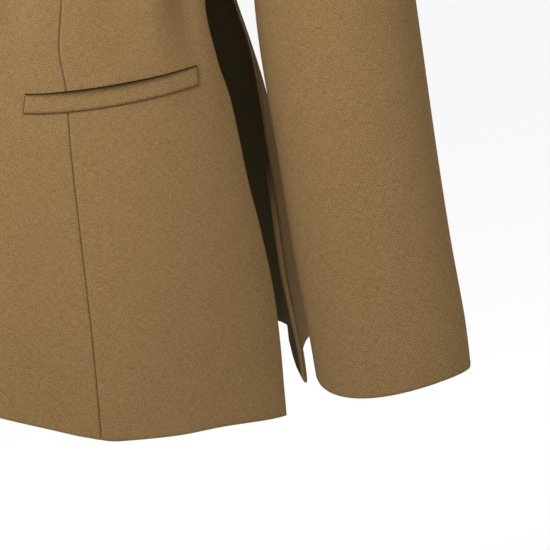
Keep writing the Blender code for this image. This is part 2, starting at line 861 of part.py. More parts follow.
def sleeve_tangent(run, angle):
    """Direction round the sleeve in which its angle grows."""
    before = sleeve_point(run, angle - SLEEVE_TURN_STEP)
    return unit(sleeve_point(run, angle + SLEEVE_TURN_STEP) - before)


def sleeve_normal(run, angle):
    """Outward normal of the sleeve."""
    low, high = max(run - SLEEVE_RUN_STEP, 0.0), min(run + SLEEVE_RUN_STEP, 1.0)
    along = sleeve_point(high, angle) - sleeve_point(low, angle)
    return unit(np.cross(sleeve_tangent(run, angle), along))


def sleeve_wall(start, end):
    """Outer and inner points of a sleeve piece between two angles, cuff row first.

    A column leads to each row's end on the armhole, so the two rims share their corners.
    """
    inset = math.copysign(0.5 * SEAM_GAP, end - start)
    columns = round(abs(end - start) / 180.0 * ROWS_ABOVE)
    angles = [start + (end - start) * c / columns for c in range(columns + 1)]
    runs = [(r / SLEEVE_ROWS) ** SLEEVE_ROW_SPACING for r in range(SLEEVE_ROWS, -1, -1)]
    outer, inner = [], []
    for run in runs:
        points = np.array([sleeve_point(run, angle) for angle in angles])
        away = np.array([sleeve_normal(run, angle) for angle in angles])
        points[0] += sleeve_tangent(run, start) * inset
        points[-1] -= sleeve_tangent(run, end) * inset
        outer.append(points)
        inner.append(points - away * SLEEVE_CLOTH)
    outer, inner = np.array(outer), np.array(inner)
    for grid in (outer, inner):
        grid[-1] += np.array([ARMHOLE_GAP, 0.0, 0.0])
    return outer, inner


def build_sleeves():
    """Top sleeve and under sleeve of both sides."""
    top = sleeve_wall(FRONT_SLEEVE_SEAM, BACK_SLEEVE_SEAM)
    under = sleeve_wall(BACK_SLEEVE_SEAM + 360.0, FRONT_SLEEVE_SEAM)
    for side, mirrored in (("left", False), ("right", True)):
        add_wall(side + "_top_sleeve", *top, mirrored)
        add_wall(side + "_under_sleeve", *under, mirrored)


def neck_edge(share):
    """Point on the neck's edge: the back neck, then down the front's roll line."""
    if share <= NECK_SHARE:
        x = NECK_HALF_WIDTH * share / NECK_SHARE
        level = CHEST_LEVEL * (1.0 - neck_share(x))
        return surface("back", back_distance(CHEST_LEVEL, x), level)
    level = ROLL_TOP_LEVEL * (share - NECK_SHARE) / (1.0 - NECK_SHARE)
    return surface("front", front_edge_distance(level), level)


def collar_row(share):
    """Points across the collar: up the stand, round the crest and down the fall."""
    values = COLLAR_TABLE.read(share)
    crest, edge = np.array(values[:3]), np.array(values[3:])
    base = neck_edge(share) + np.array([0.0, 0.0, 2.0 * SEAM_GAP])
    stand = unit(crest - base)
    fall = unit(edge - crest)
    outward = unit(fall - stand * (fall @ stand))
    middle = crest + outward * COLLAR_ROLL
    points = [base]
    for turn in COLLAR_TURNS:
        angle = math.radians(turn)
        points.append(middle + COLLAR_ROLL * (math.cos(angle) * outward + math.sin(angle) * stand))
    start = points[-1]
    for step in LAPEL_WIDTHS:
        points.append(lift_off_body(start + (edge - start) * step))
    points = np.array(points)
    gorge = lapel_row(1.0) + np.array([0.0, 0.0, GORGE_GAP])
    return points + (gorge - points) * ease((share - GORGE_SHARE) / (1.0 - GORGE_SHARE))


def lift_off_body(point):
    """Move a point of the collar's fall out to lie clear of the body below it."""
    x, y, z = point
    top = shoulder_height(x)
    if z >= top + LAPEL_LIFT:
        return point
    rise = min(max((z - CHEST_LEVEL) / (top - CHEST_LEVEL), 0.0), 1.0)
    level = CHEST_LEVEL * (1.0 - rise)
    if y < SHOULDER_SEAM_Y:
        limit = surface("front", front_distance(CHEST_LEVEL, x), level)[1] - LAPEL_LIFT
        return np.array([x, min(y, limit), z])
    limit = surface("back", back_distance(CHEST_LEVEL, x), level)[1] + LAPEL_LIFT
    return np.array([x, max(y, limit), z])


def build_collar():
    """One collar: a stand from the neck seam and a fall turned down over it."""
    half = np.array([collar_row(share) for share in COLLAR_SHARES])
    other = half[:0:-1] * np.array([-1.0, 1.0, 1.0])
    grid = np.concatenate([other, half])
    add_wall("collar", grid, grid - normals(grid) * LAPEL_CLOTH)


def lapel_row(share, tucked=False):
    """Points across a lapel at a share of the roll line: the turn, then its width.

    A tucked lapel stays clear of the roll of the other front, which covers its foot.
    """
    level = BREAK_LEVEL + share * (ROLL_TOP_LEVEL - BREAK_LEVEL)
    root = np.array([roll_x(level), level])
    shift = max(TUCK_CLEARANCE - 2.0 * root[0], 0.0) if tucked else 0.0
    root[0] += shift
    edge = np.array(LAPEL_TABLE.read(share))
    sideways = unit(edge - root)
    reach = np.linalg.norm(edge - root)
    tuck = ease(TUCK_FADE * shift / TUCK_CLEARANCE + TUCK_LEAST)
    lift = 0.5 * LAPEL_CLOTH + TUCK_LIFT * tuck
    ground = front_y(root[0], root[1]) - lift
    points = []
    for turn in LAPEL_TURNS:
        angle = math.radians(turn)
        place = root - sideways * (2.0 * SEAM_GAP + LAPEL_ROLL * math.cos(angle))
        points.append([place[0], ground - LAPEL_ROLL * (1.0 + math.sin(angle)), place[1]])
    for width in LAPEL_WIDTHS:
        place = root + sideways * reach * width
        points.append([place[0], front_y(place[0], place[1]) - LAPEL_LIFT, place[1]])
    return np.array(points)


def lapel_grid(start, tucked=False):
    """Grid of a lapel from a share of the roll line up, turned back over the front."""
    shares = [start + (LAPEL_TIP_SHARE - start) * share for share in even_shares(LAPEL_ROWS)]
    shares += [0.5 * (1.0 + LAPEL_TIP_SHARE), 1.0]
    return np.array([lapel_row(share, tucked) for share in shares])[:, ::-1]


def build_lapels():
    """Both lapels; the right front covers the foot of the left one."""
    right = lapel_grid(0.0)
    left = underlap(lapel_grid(LEFT_LAPEL_START, tucked=True))
    add_wall("right_lapel", right, right - normals(right) * LAPEL_CLOTH, mirrored=True)
    add_wall("left_lapel", left, left - normals(left) * LAPEL_CLOTH)


def build_welts():
    """Welt pockets laid over both front seams, a strip with square ends."""
    grid = []
    for height in even_shares(WELT_ROWS):
        points = []
        for share in even_shares(WELT_COLUMNS):
            low = np.array(WELT_LOWER[0]) + share * (np.array(WELT_LOWER[1]) - WELT_LOWER[0])
            high = np.array(WELT_UPPER[0]) + share * (np.array(WELT_UPPER[1]) - WELT_UPPER[0])
            bow = 4.0 * share**WELT_SAG_POWER * (1.0 - share**WELT_SAG_POWER)
            low[1] -= WELT_LOWER_SAG * bow
            high[1] -= WELT_UPPER_SAG * bow
            x, z = low + height * (high - low)
            points.append([x, front_y(x, z), z])
        grid.append(points)
    grid = np.array(grid)
    direction = normals(grid)
    outer = grid + direction * (WELT_LIFT + WELT_CLOTH)
    inner = grid + direction * WELT_LIFT
    vertices, faces = wall_mesh(outer, inner)
    for side, mirrored in (("left", False), ("right", True)):
        name = side + "_pocket_welt"
        make_object(name, vertices, faces, cloth_material(name), mirrored)


def build_button():
    """One turned button with a raised rim, lying on the right front at the break."""
    level = BREAK_LEVEL - BUTTON_DROP
    step = 0.5 * BUTTON_RADIUS
    above = np.array([0.0, front_y(0.0, level + step), level + step])
    below = np.array([0.0, front_y(0.0, level - step), level - step])
    upward = unit(above - below)
    sideways = np.array([1.0, 0.0, 0.0])
    outward = np.cross(sideways, upward)
    seat = 0.5 * (above + below) + outward * SEAM_GAP * 3.0
    profile = [
        # share of the radius, share of the thickness
        (0.80, 0.00),
        (1.00, 0.30),
        (1.00, 0.72),
        (0.88, 1.00),
        (0.74, 0.92),
        (0.62, 0.66),
    ]
    vertices = [seat]
    for radius, height in profile:
        for k in range(BUTTON_SIDES):
            angle = 2.0 * math.pi * k / BUTTON_SIDES
            spoke = math.cos(angle) * sideways + math.sin(angle) * upward
            rise = outward * height * BUTTON_THICKNESS
            vertices.append(seat + spoke * radius * BUTTON_RADIUS + rise)
    vertices.append(seat + outward * BUTTON_DISH * BUTTON_THICKNESS)
    last = len(vertices) - 1
    faces = []
    for k in range(BUTTON_SIDES):
        after = (k + 1) % BUTTON_SIDES
        faces.append((0, 1 + after, 1 + k))
        for i in range(len(profile) - 1):
            a = 1 + i * BUTTON_SIDES
            b = a + BUTTON_SIDES
            faces.append((a + k, a + after, b + after, b + k))
        top = 1 + (len(profile) - 1) * BUTTON_SIDES
        faces.append((last, top + k, top + after))
    horn = make_material("front_button_horn", BUTTON_COLOUR, 0.35)
    make_object("front_button", vertices, faces, horn)


def main():
    """Build the whole jacket."""
    clear_scene()
    build_fronts()
    build_backs()
    build_vents()
    build_sleeves()
    build_collar()
    build_lapels()
    build_welts()
    build_button()


main()
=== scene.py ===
"""Looks of a woman's single-breasted suit jacket, filled out and hollow.

Frame: +X is the wearer's left, -Y the front, +Z up. The origin lies between the two
shoulder neck points. Sizes are in metres.

The body is one surface. A place on it is a face (front or back), a distance along the
cloth and a level. Up to the chest a level is a plain height. Above the chest the levels
up to 0 lead up each column of cloth to the shoulder seam. Every cloth piece is a shell
between two grids of points cut from that surface, or moved off it.
"""

from __future__ import annotations

import logging
import math
from collections.abc import Callable
from dataclasses import dataclass
from enum import Enum

import bmesh
import bpy
import numpy as np
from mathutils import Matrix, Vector


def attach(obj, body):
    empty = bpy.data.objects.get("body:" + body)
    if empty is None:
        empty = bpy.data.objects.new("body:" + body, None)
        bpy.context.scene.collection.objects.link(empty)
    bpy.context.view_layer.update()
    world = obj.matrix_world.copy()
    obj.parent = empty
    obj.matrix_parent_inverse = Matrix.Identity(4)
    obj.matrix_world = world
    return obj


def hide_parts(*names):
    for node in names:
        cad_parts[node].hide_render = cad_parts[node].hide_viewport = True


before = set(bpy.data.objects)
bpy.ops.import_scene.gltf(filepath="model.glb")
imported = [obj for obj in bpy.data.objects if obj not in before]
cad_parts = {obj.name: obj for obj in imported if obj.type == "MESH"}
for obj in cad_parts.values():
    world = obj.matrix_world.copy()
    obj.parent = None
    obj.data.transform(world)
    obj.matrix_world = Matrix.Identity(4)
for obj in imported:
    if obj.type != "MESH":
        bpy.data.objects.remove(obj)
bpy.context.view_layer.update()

Values = np.ndarray
Grid = np.ndarray
Triple = tuple[float, float, float]
LOG = logging.getLogger("suit_jacket")

# Thicknesses and the gap at a seam
CLOTH = 0.0020
SLEEVE_CLOTH = 0.0018
LAPEL_CLOTH = 0.0016
FACING_CLOTH = 0.0012
LINING_CLOTH = 0.0010
WELT_CLOTH = 0.0012
SEAM_GAP = 0.0003

# Main levels
HEM_LEVEL = -0.705
CHEST_LEVEL = -0.225
VENT_TOP = -0.330
VENT_CLOSING = 0.02
CLOSED_OFFSET = 0.05
BREAK_LEVEL = -0.362
SHOULDER_LEVEL = 0.0

# Shoulder and neck
NECK_HALF_WIDTH = 0.078
SHOULDER_SLOPE = 0.30
SHOULDER_SEAM_Y = 0.008
NECK_DROP = 0.018
NECK_POWER = 2.4
NECK_ROUNDING = 0.020
FRONT_RISE_POWER = 2.6
BACK_RISE_POWER = 3.0
RISE_SPACING = 1.15
ARMHOLE_BEND = 1.6

# Closing: the right front laps over the left one
OVERLAP = 0.015
UNDERLAP_DEPTH = 0.0038
UNDERLAP_START = OVERLAP + 0.004
UNDERLAP_FADE = 0.030
FRONT_CORNER_RADIUS = 0.030

# Angles round a sleeve: 0 outside, 90 front, 180 inside, 270 back
BACK_SLEEVE_SEAM = -54.0
FRONT_SLEEVE_SEAM = 198.0
CAP_BLEND_RUN = 0.22
SLEEVE_FOLD_START = 0.12
ARMHOLE_GAP = 0.0008

# Collar and lapel
NECK_SHARE = 0.62
GORGE_SHARE = 0.82
GORGE_GAP = 0.0008
COLLAR_ROLL = 0.0030
LAPEL_TIP_SHARE = 0.88
ROLL_TOP_LEVEL = -0.055
ROLL_TOP_X = 0.0600
LAPEL_ROLL = 0.0022
LAPEL_LIFT = 0.0056
LEFT_LAPEL_START = 0.10
TUCK_CLEARANCE = 0.0100
TUCK_LIFT = 0.0022
TUCK_START = 0.3

# Steps at which directions are taken, and the sizes of the lattice of rings
LINE_STEP = 0.002
SURFACE_STEP = 0.0012
FRONT_START_ANGLE = -0.12 * math.pi
QUARTER_TURN = 0.5 * math.pi
LOWEST_LEVEL = -0.725
LATTICE_LEVELS = 260
LATTICE_POINTS = 500
FLANK_POINTS = 120
FLANK_TURN = 0.6
FLANK_POWERS = (3.0, 8.0)


def smooth_value(keys: Values, values: Values, at: Values) -> Values:
    """Read a monotone cubic through values over rising keys.

    Args:
        keys: Rising keys.
        values: One value for each key.
        at: Where to read it, any shape.

    Returns:
        The values read, in the shape of at.
    """
    at = np.clip(at, keys[0], keys[-1])
    steps = np.diff(keys)
    slopes = np.diff(values) / steps
    rising = slopes[:-1] * slopes[1:] > 0.0
    before = steps[:-1] + 2.0 * steps[1:]
    after = 2.0 * steps[:-1] + steps[1:]
    low = np.where(rising, slopes[:-1], 1.0)
    high = np.where(rising, slopes[1:], 1.0)
    inner = np.where(rising, (before + after) / (before / high + after / low), 0.0)
    tangents = np.concatenate([slopes[:1], inner, slopes[-1:]])
    i = np.minimum(np.searchsorted(keys, at, side="right") - 1, len(keys) - 2)
    u = (at - keys[i]) / steps[i]
    return (
        (2 * u**3 - 3 * u**2 + 1) * values[i]
        + (u**3 - 2 * u**2 + u) * steps[i] * tangents[i]
        + (3 * u**2 - 2 * u**3) * values[i + 1]
        + (u**3 - u**2) * steps[i] * tangents[i + 1]
    )


class Table:
    """A short table whose columns are read smoothly against its first column."""

    def __init__(self, *rows: tuple[float, ...]) -> None:
        """Keep the rows, sorted by their first column."""
        self.cells = np.array(sorted(rows), dtype=float)

    def read(self, at: Values) -> list[Values]:
        """Values of all columns after the first at keys."""
        keys = self.cells[:, 0]
        return [smooth_value(keys, values, np.asarray(at, float)) for values in self.cells.T[1:]]


FRONT_RINGS = Table(
    # level, half width, depth, power, widest y
    (-0.225, 0.222, 0.115, 2.30, 0.003),
    (-0.330, 0.208, 0.112, 2.30, 0.003),
    (-0.390, 0.214, 0.125, 2.35, 0.000),
    (-0.450, 0.232, 0.137, 2.40, 0.002),
    (-0.520, 0.252, 0.149, 2.40, 0.004),
    (-0.600, 0.270, 0.160, 2.40, 0.007),
    (-0.725, 0.288, 0.171, 2.40, 0.009),
)
BACK_RINGS = Table(
    # level, half width, depth, power, widest y
    (-0.225, 0.222, 0.106, 2.30, 0.003),
    (-0.330, 0.208, 0.098, 2.30, 0.003),
    (-0.370, 0.2165, 0.096, 2.30, 0.010),
    (-0.409, 0.229, 0.089, 2.30, 0.024),
    (-0.450, 0.2447, 0.075, 2.35, 0.050),
    (-0.487, 0.2572, 0.068, 2.40, 0.068),
    (-0.560, 0.2758, 0.066, 2.50, 0.086),
    (-0.640, 0.2905, 0.066, 2.60, 0.102),
    (-0.725, 0.3020, 0.066, 2.70, 0.116),
)
VENT_EDGES = Table(
    # level, x of the front's free edge, x and y of the back's free edge
    (-0.330, 0.2080, 0.2080, 0.0030),
    (-0.350, 0.2060, 0.2102, -0.0040),
    (-0.375, 0.2020, 0.2160, -0.0085),
    (-0.403, 0.1993, 0.2243, -0.0100),
    (-0.445, 0.2072, 0.2390, -0.0055),
    (-0.472, 0.2161, 0.2447, -0.0020),
    (-0.532, 0.2284, 0.2544, 0.0044),
    (-0.569, 0.2376, 0.2602, 0.0056),
    (-0.619, 0.2478, 0.2674, 0.0072),
    (-0.658, 0.2522, 0.2750, 0.0085),
    (-0.685, 0.2542, 0.2803, 0.0090),
    (-0.705, 0.2558, 0.2828, 0.0095),
    (-0.725, 0.2572, 0.2840, 0.0100),
)
PRINCESS_SEAM = Table(
    # level, x
    (0.000, 0.138),
    (-0.120, 0.108),
    (-0.225, 0.099),
    (-0.330, 0.094),
    (-0.395, 0.0931),
    (-0.428, 0.0907),
    (-0.455, 0.0948),
    (-0.498, 0.0974),
    (-0.543, 0.1014),
    (-0.637, 0.1102),
    (-0.725, 0.1166),
)
ARMHOLE = Table(
    # share of the way up, share of the rise to the shoulder, x on the chest ring
    (0.0, 0.000, 0.2220),
    (0.1, 0.004, 0.2196),
    (0.2, 0.020, 0.2120),
    (0.3, 0.065, 0.2010),
    (0.4, 0.150, 0.1925),
    (0.5, 0.275, 0.1872),
    (0.6, 0.420, 0.1850),
    (0.7, 0.570, 0.1855),
    (0.8, 0.720, 0.1885),
    (0.9, 0.870, 0.1955),
    (1.0, 1.000, 0.2070),
)
FRONT_HEM = Table(
    # x, height of the edge
    (-0.015, -0.666),
    (0.045, -0.6832),
    (0.080, -0.6930),
    (0.105, -0.7000),
    (0.128, -0.7043),
    (0.170, -0.7045),
    (0.204, -0.7033),
    (0.254, -0.7066),
)
BACK_HEM = Table(
    # distance from the vent edge, height of the edge
    (0.000, -0.7055),
    (0.020, -0.7050),
    (0.040, -0.7020),
    (0.060, -0.6945),
    (0.080, -0.6895),
    (0.110, -0.6870),
    (0.140, -0.6850),
    (0.400, -0.6800),
)
FRONT_FOLDS = (
    # distance from the centre, level, half width, half length, depth inward, lean
    (0.190, -0.375, 0.013, 0.060, 0.0042, -0.10),
    (0.162, -0.385, 0.011, 0.055, -0.0020, -0.06),
    (0.135, -0.360, 0.013, 0.050, 0.0026, 0.05),
    (0.062, -0.375, 0.012, 0.045, 0.0030, 0.12),
    (0.030, -0.400, 0.014, 0.060, -0.0022, 0.10),
    (0.150, -0.640, 0.050, 0.110, -0.0030, 0.00),
)
BACK_FOLDS = (
    # distance from the side, level, half width, half length, depth inward, lean
    (0.140, -0.720, 0.042, 0.200, -0.0090, 0.08),
    (0.070, -0.340, 0.014, 0.060, 0.0036, 0.10),
    (0.120, -0.330, 0.015, 0.070, 0.0042, -0.08),
    (0.185, -0.350, 0.014, 0.055, 0.0030, 0.05),
    (0.250, -0.700, 0.045, 0.150, 0.0050, 0.00),
)
SLEEVE_STATIONS = (
    # outer x and z, inner x and z, middle y, half depth, front drop, twist of the rim
    (0.2070, -0.0390, 0.2220, -0.2250, 0.004, 0.066, 0.0000, 0.0000),
    (0.2430, -0.0440, 0.2236, -0.2290, 0.004, 0.068, 0.0000, 0.0000),
    (0.2760, -0.0660, 0.2252, -0.2350, 0.003, 0.068, 0.0000, 0.0000),
    (0.3010, -0.1100, 0.2266, -0.2460, 0.000, 0.066, 0.0000, 0.0000),
    (0.3186, -0.1750, 0.2278, -0.2700, -0.004, 0.063, 0.0000, 0.0000),
    (0.3364, -0.2700, 0.2302, -0.3180, -0.012, 0.059, 0.0000, 0.0000),
    (0.3553, -0.4000, 0.2382, -0.4195, -0.030, 0.053, 0.0020, 0.0000),
    (0.3688, -0.5000, 0.2532, -0.5165, -0.041, 0.048, 0.0030, 0.0017),
    (0.3810, -0.5780, 0.2648, -0.5930, -0.045, 0.044, 0.0042, 0.0034),
    (0.3941, -0.6480, 0.2773, -0.6600, -0.046, 0.040, 0.0062, 0.0062),
    (0.3988, -0.6818, 0.2822, -0.6885, -0.045, 0.038, 0.0078, 0.0084),
)
SLEEVE = Table(
    *((i / (len(SLEEVE_STATIONS) - 1.0), *row) for i, row in enumerate(SLEEVE_STATIONS))
)
SLEEVE_FOLDS = (
    # share of the run, angle round the sleeve, half length, half angle, depth inward, lean
    (0.22, 150.0, 0.060, 26.0, 0.0050, 60.0),
    (0.30, 110.0, 0.060, 24.0, 0.0034, 80.0),
    (0.33, 235.0, 0.060, 28.0, 0.0046, -60.0),
    (0.50, 165.0, 0.050, 30.0, 0.0036, 40.0),
    (0.56, 215.0, 0.055, 26.0, 0.0040, -50.0),
)
COLLAR = Table(
    # share of the way from the centre back, crest x y z, edge x y z
    (0.00, 0.0000, 0.0720, 0.0200, 0.0000, 0.1120, -0.0420),
    (0.25, 0.0350, 0.0640, 0.0235, 0.0590, 0.1000, -0.0400),
    (0.45, 0.0600, 0.0390, 0.0300, 0.0990, 0.0650, -0.0240),
    (0.62, 0.0690, 0.0080, 0.0310, 0.1190, 0.0060, -0.0035),
    (0.80, 0.0690, -0.0400, 0.0130, 0.1210, -0.0560, -0.0280),
    (0.93, 0.0650, -0.0700, -0.0300, 0.1160, -0.0900, -0.0600),
    (1.00, 0.0600, -0.0850, -0.0550, 0.1000, -0.1000, -0.0820),
)
LAPEL = Table(
    # share of the way up the roll line, x and z of the outer edge
    (0.00, 0.004, -0.352),
    (0.15, 0.034, -0.322),
    (0.40, 0.082, -0.245),
    (0.65, 0.121, -0.165),
    (0.88, 0.143, -0.104),
    (1.00, 0.100, -0.0820),
)
INNER_LAYER_DROP = Table(
    # distance from the vent edge, how far the inner layer falls away from the back
    (0.000, 0.0000),
    (0.020, 0.0004),
    (0.040, 0.0026),
    (0.060, 0.0065),
    (0.080, 0.0125),
    (0.095, 0.0160),
    (0.110, 0.0170),
    (0.130, 0.0120),
    (0.150, 0.0060),
    (0.200, 0.0025),
    (0.420, 0.0010),
)


class Face(Enum):
    """The two faces of the body."""

    FRONT = "front"
    BACK = "back"


class Side(Enum):
    """The wearer's two sides; the value is the sign of x."""

    LEFT = 1.0
    RIGHT = -1.0

    @property
    def word(self) -> str:
        """The side's word in piece and node names."""
        return self.name.lower()


def ease(value: Values) -> Values:
    """Smooth step from 0 to 1."""
    value = np.clip(value, 0.0, 1.0)
    return value * value * (3.0 - 2.0 * value)


def bump(distance: Values, width: Values | float) -> Values:
    """Bell curve of height 1 that fades over a width."""
    return np.exp(-((distance / width) ** 2))


def unit(vectors: Grid) -> Grid:
    """The vectors at length 1."""
    return vectors / np.maximum(np.linalg.norm(vectors, axis=-1, keepdims=True), 1e-12)


def stack(*coordinates: Values) -> Grid:
    """Points from coordinates of one shape."""
    return np.stack(np.broadcast_arrays(*coordinates), axis=-1)


def grid_normals(grid: Grid) -> Grid:
    """Unit normals of a grid of points, from its rows and columns."""
    return unit(np.cross(np.gradient(grid, axis=1), np.gradient(grid, axis=0)))


def clustered(count: int, tightness: float = 1.9) -> Values:
    """Shares from 0 to 1 that lie closer together at both ends."""
    spread = np.tanh(tightness * np.linspace(-1.0, 1.0, count)) / math.tanh(tightness)
    return 0.5 * (1.0 + spread)


class Rings:
    """The body's rings on one face, as a lattice of levels and of points along each ring.

    Front: x = w sin(a)^(2/p), y = c - d cos(a)^(2/p), from beyond the centre to the side.
    Back: the same behind the side, after a flank from the vent's free edge. The flank runs
    straight back, turns out and ends straight back: out = (1 + t) s^3 - t s^8.
    """

    def __init__(self, face: Face) -> None:
        """Work out the lattice of one face."""
        self.face = face
        self.table = FRONT_RINGS if face is Face.FRONT else BACK_RINGS
        self.levels = np.linspace(LOWEST_LEVEL, CHEST_LEVEL, LATTICE_LEVELS)
        half_width, depth, power, middle = (v[:, None] for v in self.table.read(self.levels))
        if face is Face.FRONT:
            self.flank = 0
            angles = np.linspace(FRONT_START_ANGLE, QUARTER_TURN, LATTICE_POINTS)[None]
            x = half_width * np.sign(np.sin(angles)) * np.abs(np.sin(angles)) ** (2.0 / power)
            y = middle - depth * np.cos(angles) ** (2.0 / power)
        else:
            self.flank = FLANK_POINTS - 1
            angles = np.linspace(QUARTER_TURN, 0.0, LATTICE_POINTS)[None]
            _, edge_x, edge_y = (v[:, None] for v in VENT_EDGES.read(self.levels))
            closed = self.levels[:, None] >= VENT_TOP
            edge_x = np.where(closed, half_width, edge_x)
            edge_y = np.where(closed, middle, edge_y)
            share = np.linspace(0.0, 1.0, FLANK_POINTS)[None, :-1]
            first, last = FLANK_POWERS
            out = (1.0 + FLANK_TURN) * share**first - FLANK_TURN * share**last
            flank_x = edge_x + (half_width - edge_x) * out
            flank_y = edge_y + (middle - edge_y) * share
            x = half_width * np.sin(angles) ** (2.0 / power)
            y = middle + depth * np.cos(angles) ** (2.0 / power)
            x = np.concatenate([flank_x, x], axis=1)
            y = np.concatenate([flank_y, y], axis=1)
        steps = np.hypot(np.diff(x, axis=1), np.diff(y, axis=1))
        self.reach = np.concatenate([np.zeros((len(x), 1)), np.cumsum(steps, axis=1)], axis=1)
        self.total = self.reach[:, -1]
        even = np.linspace(0.0, 1.0, LATTICE_POINTS)
        rows = [
            (np.interp(even * length, reach, xs), np.interp(even * length, reach, ys))
            for length, reach, xs, ys in zip(self.total, self.reach, x, y)
        ]
        self.points = np.moveaxis(np.array(rows), 1, 2)

    def _row(self, level: Values) -> tuple[Values, Values]:
        """Lattice row below a level, and the share of the way to the next one."""
        place = (level - LOWEST_LEVEL) / (CHEST_LEVEL - LOWEST_LEVEL) * (LATTICE_LEVELS - 1)
        place = np.clip(place, 0.0, LATTICE_LEVELS - 1)
        row = np.minimum(place.astype(int), LATTICE_LEVELS - 2)
        return row, place - row

    def length(self, level: Values) -> Values:
        """Length of the ring at a level."""
        return np.interp(level, self.levels, self.total)

    def place(self, distance: Values, level: Values) -> Grid:
        """Plan points at distances along the rings of levels."""
        row, up = self._row(level)
        total = self.total[row] * (1.0 - up) + self.total[row + 1] * up
        column = np.clip(distance / total, 0.0, 1.0) * (LATTICE_POINTS - 1)
        left = np.minimum(column.astype(int), LATTICE_POINTS - 2)
        along, up = (column - left)[..., None], up[..., None]
        low = self.points[row, left] * (1.0 - along) + self.points[row, left + 1] * along
        high = self.points[row + 1, left] * (1.0 - along) + self.points[row + 1, left + 1] * along
        return low * (1.0 - up) + high * up

    def distance(self, level: Values, x: Values) -> Values:
        """Distance along the ring of a level at which it reaches x, behind the side on a back."""
        level = np.minimum(level, CHEST_LEVEL)
        level, x = np.broadcast_arrays(np.asarray(level, float), np.asarray(x, float))
        half_width, _, power, _ = self.table.read(level)
        share = np.clip(np.abs(x) / half_width, 0.0, 1.0)
        angle = np.sign(x) * np.arcsin(share ** (0.5 * power))
        if self.face is Face.FRONT:
            place = (angle - FRONT_START_ANGLE) / (QUARTER_TURN - FRONT_START_ANGLE)
        else:
            place = 1.0 - angle / QUARTER_TURN
        column = self.flank + np.clip(place, 0.0, 1.0) * (LATTICE_POINTS - 1)
        left = np.minimum(column.astype(int), self.reach.shape[1] - 2)
        along = column - left
        row, up = self._row(level)
        low = self.reach[row, left] * (1.0 - along) + self.reach[row, left + 1] * along
        high = self.reach[row + 1, left] * (1.0 - along) + self.reach[row + 1, left + 1] * along
        return low * (1.0 - up) + high * up


RINGS = {face: Rings(face) for face in Face}


def shoulder_height(x: Values) -> Values:
    """Height of the shoulder seam's line above x, rounded over at the centre."""
    rounded = np.hypot(x, NECK_ROUNDING) - math.hypot(NECK_HALF_WIDTH, NECK_ROUNDING)
    return -SHOULDER_SLOPE * rounded


def front_distance(level: Values, x: Values) -> Values:
    """Distance along the front ring at which it reaches x."""
    return RINGS[Face.FRONT].distance(level, x)


def back_distance(level: Values, x: Values) -> Values:
    """Distance along the back ring at which it narrows to x."""
    return RINGS[Face.BACK].distance(level, x)


def fold_depth(folds: tuple[tuple[float, ...], ...], distance: Values, level: Values) -> Values:
    """How far soft folds press the cloth inward: a sum of leaning bell curves."""
    depth = np.zeros(np.broadcast(distance, level).shape)
    for centre, height, half_width, half_length, amount, lean in folds:
        across = (distance - centre - lean * (level - height)) / half_width
        along = (level - height) / half_length
        depth = depth + amount * np.exp(-across * across - along * along)
    return depth


def body_point(face: Face, distance: Values, level: Values) -> Grid:
    """Points of the body's outer surface.

    The ring's point is pressed inward by folds. Above the chest it rises to the shoulder
    line and draws in to the shoulder seam by (1 - rise^power)^(1/2).

    Args:
        face: Front or back.
        distance: Distances along the ring.
        level: Levels, heights up to the chest.

    Returns:
        Points, one for each place.
    """
    distance, level = np.broadcast_arrays(np.asarray(distance, float), np.asarray(level, float))
    rings = RINGS[face]
    ring_level = np.minimum(level, CHEST_LEVEL)
    plan = rings.place(distance, ring_level)
    length = rings.length(ring_level)
    before = rings.place(np.maximum(distance - LINE_STEP, 0.0), ring_level)
    after = rings.place(np.minimum(distance + LINE_STEP, length), ring_level)
    along = unit(after - before)
    if face is Face.FRONT:
        press = fold_depth(FRONT_FOLDS, distance - front_distance(level, 0.0), level)
    else:
        press = fold_depth(BACK_FOLDS, distance, level)
    x = plan[..., 0] - press * along[..., 1]
    y = plan[..., 1] + press * along[..., 0]
    rise = np.clip(1.0 - level / CHEST_LEVEL, 0.0, 1.0)
    power = FRONT_RISE_POWER if face is Face.FRONT else BACK_RISE_POWER
    fullness = np.sqrt(np.maximum(1.0 - rise**power, 0.0))
    height = np.minimum(level, CHEST_LEVEL) + rise * (shoulder_height(x) - CHEST_LEVEL)
    return stack(x, SHOULDER_SEAM_Y + (y - SHOULDER_SEAM_Y) * fullness, height)


def body_normal(face: Face, distance: Values, level: Values) -> Grid:
    """Outward normals of the body's outer surface, from steps along and up it."""
    step = SURFACE_STEP
    across = body_point(face, distance + step, level) - body_point(face, distance - step, level)
    climb = np.clip(-0.5 * level, 1e-6, step)
    along = body_point(face, distance, level + climb) - body_point(face, distance, level - climb)
    sign = 1.0 if face is Face.FRONT else -1.0
    inward = stack(0.0 * level, 0.0 * level + sign, 0.0 * level)
    along = np.where((level > -1e-5)[..., None], inward, along)
    return unit(np.cross(across, along))


def front_y(x: Values, z: Values) -> Values:
    """Depth of the front surface at places of the front view."""
    rise = (z - CHEST_LEVEL) / (shoulder_height(x) - CHEST_LEVEL)
    level = np.where(z <= CHEST_LEVEL, z, CHEST_LEVEL * (1.0 - np.minimum(rise, 1.0)))
    return body_point(Face.FRONT, front_distance(level, x), level)[..., 1]


def roll_x(level: Values) -> Values:
    """x of the straight line along which the lapel turns over, read in the front view."""
    share = (level - BREAK_LEVEL) / (ROLL_TOP_LEVEL - BREAK_LEVEL)
    return -OVERLAP + share * (ROLL_TOP_X + OVERLAP)


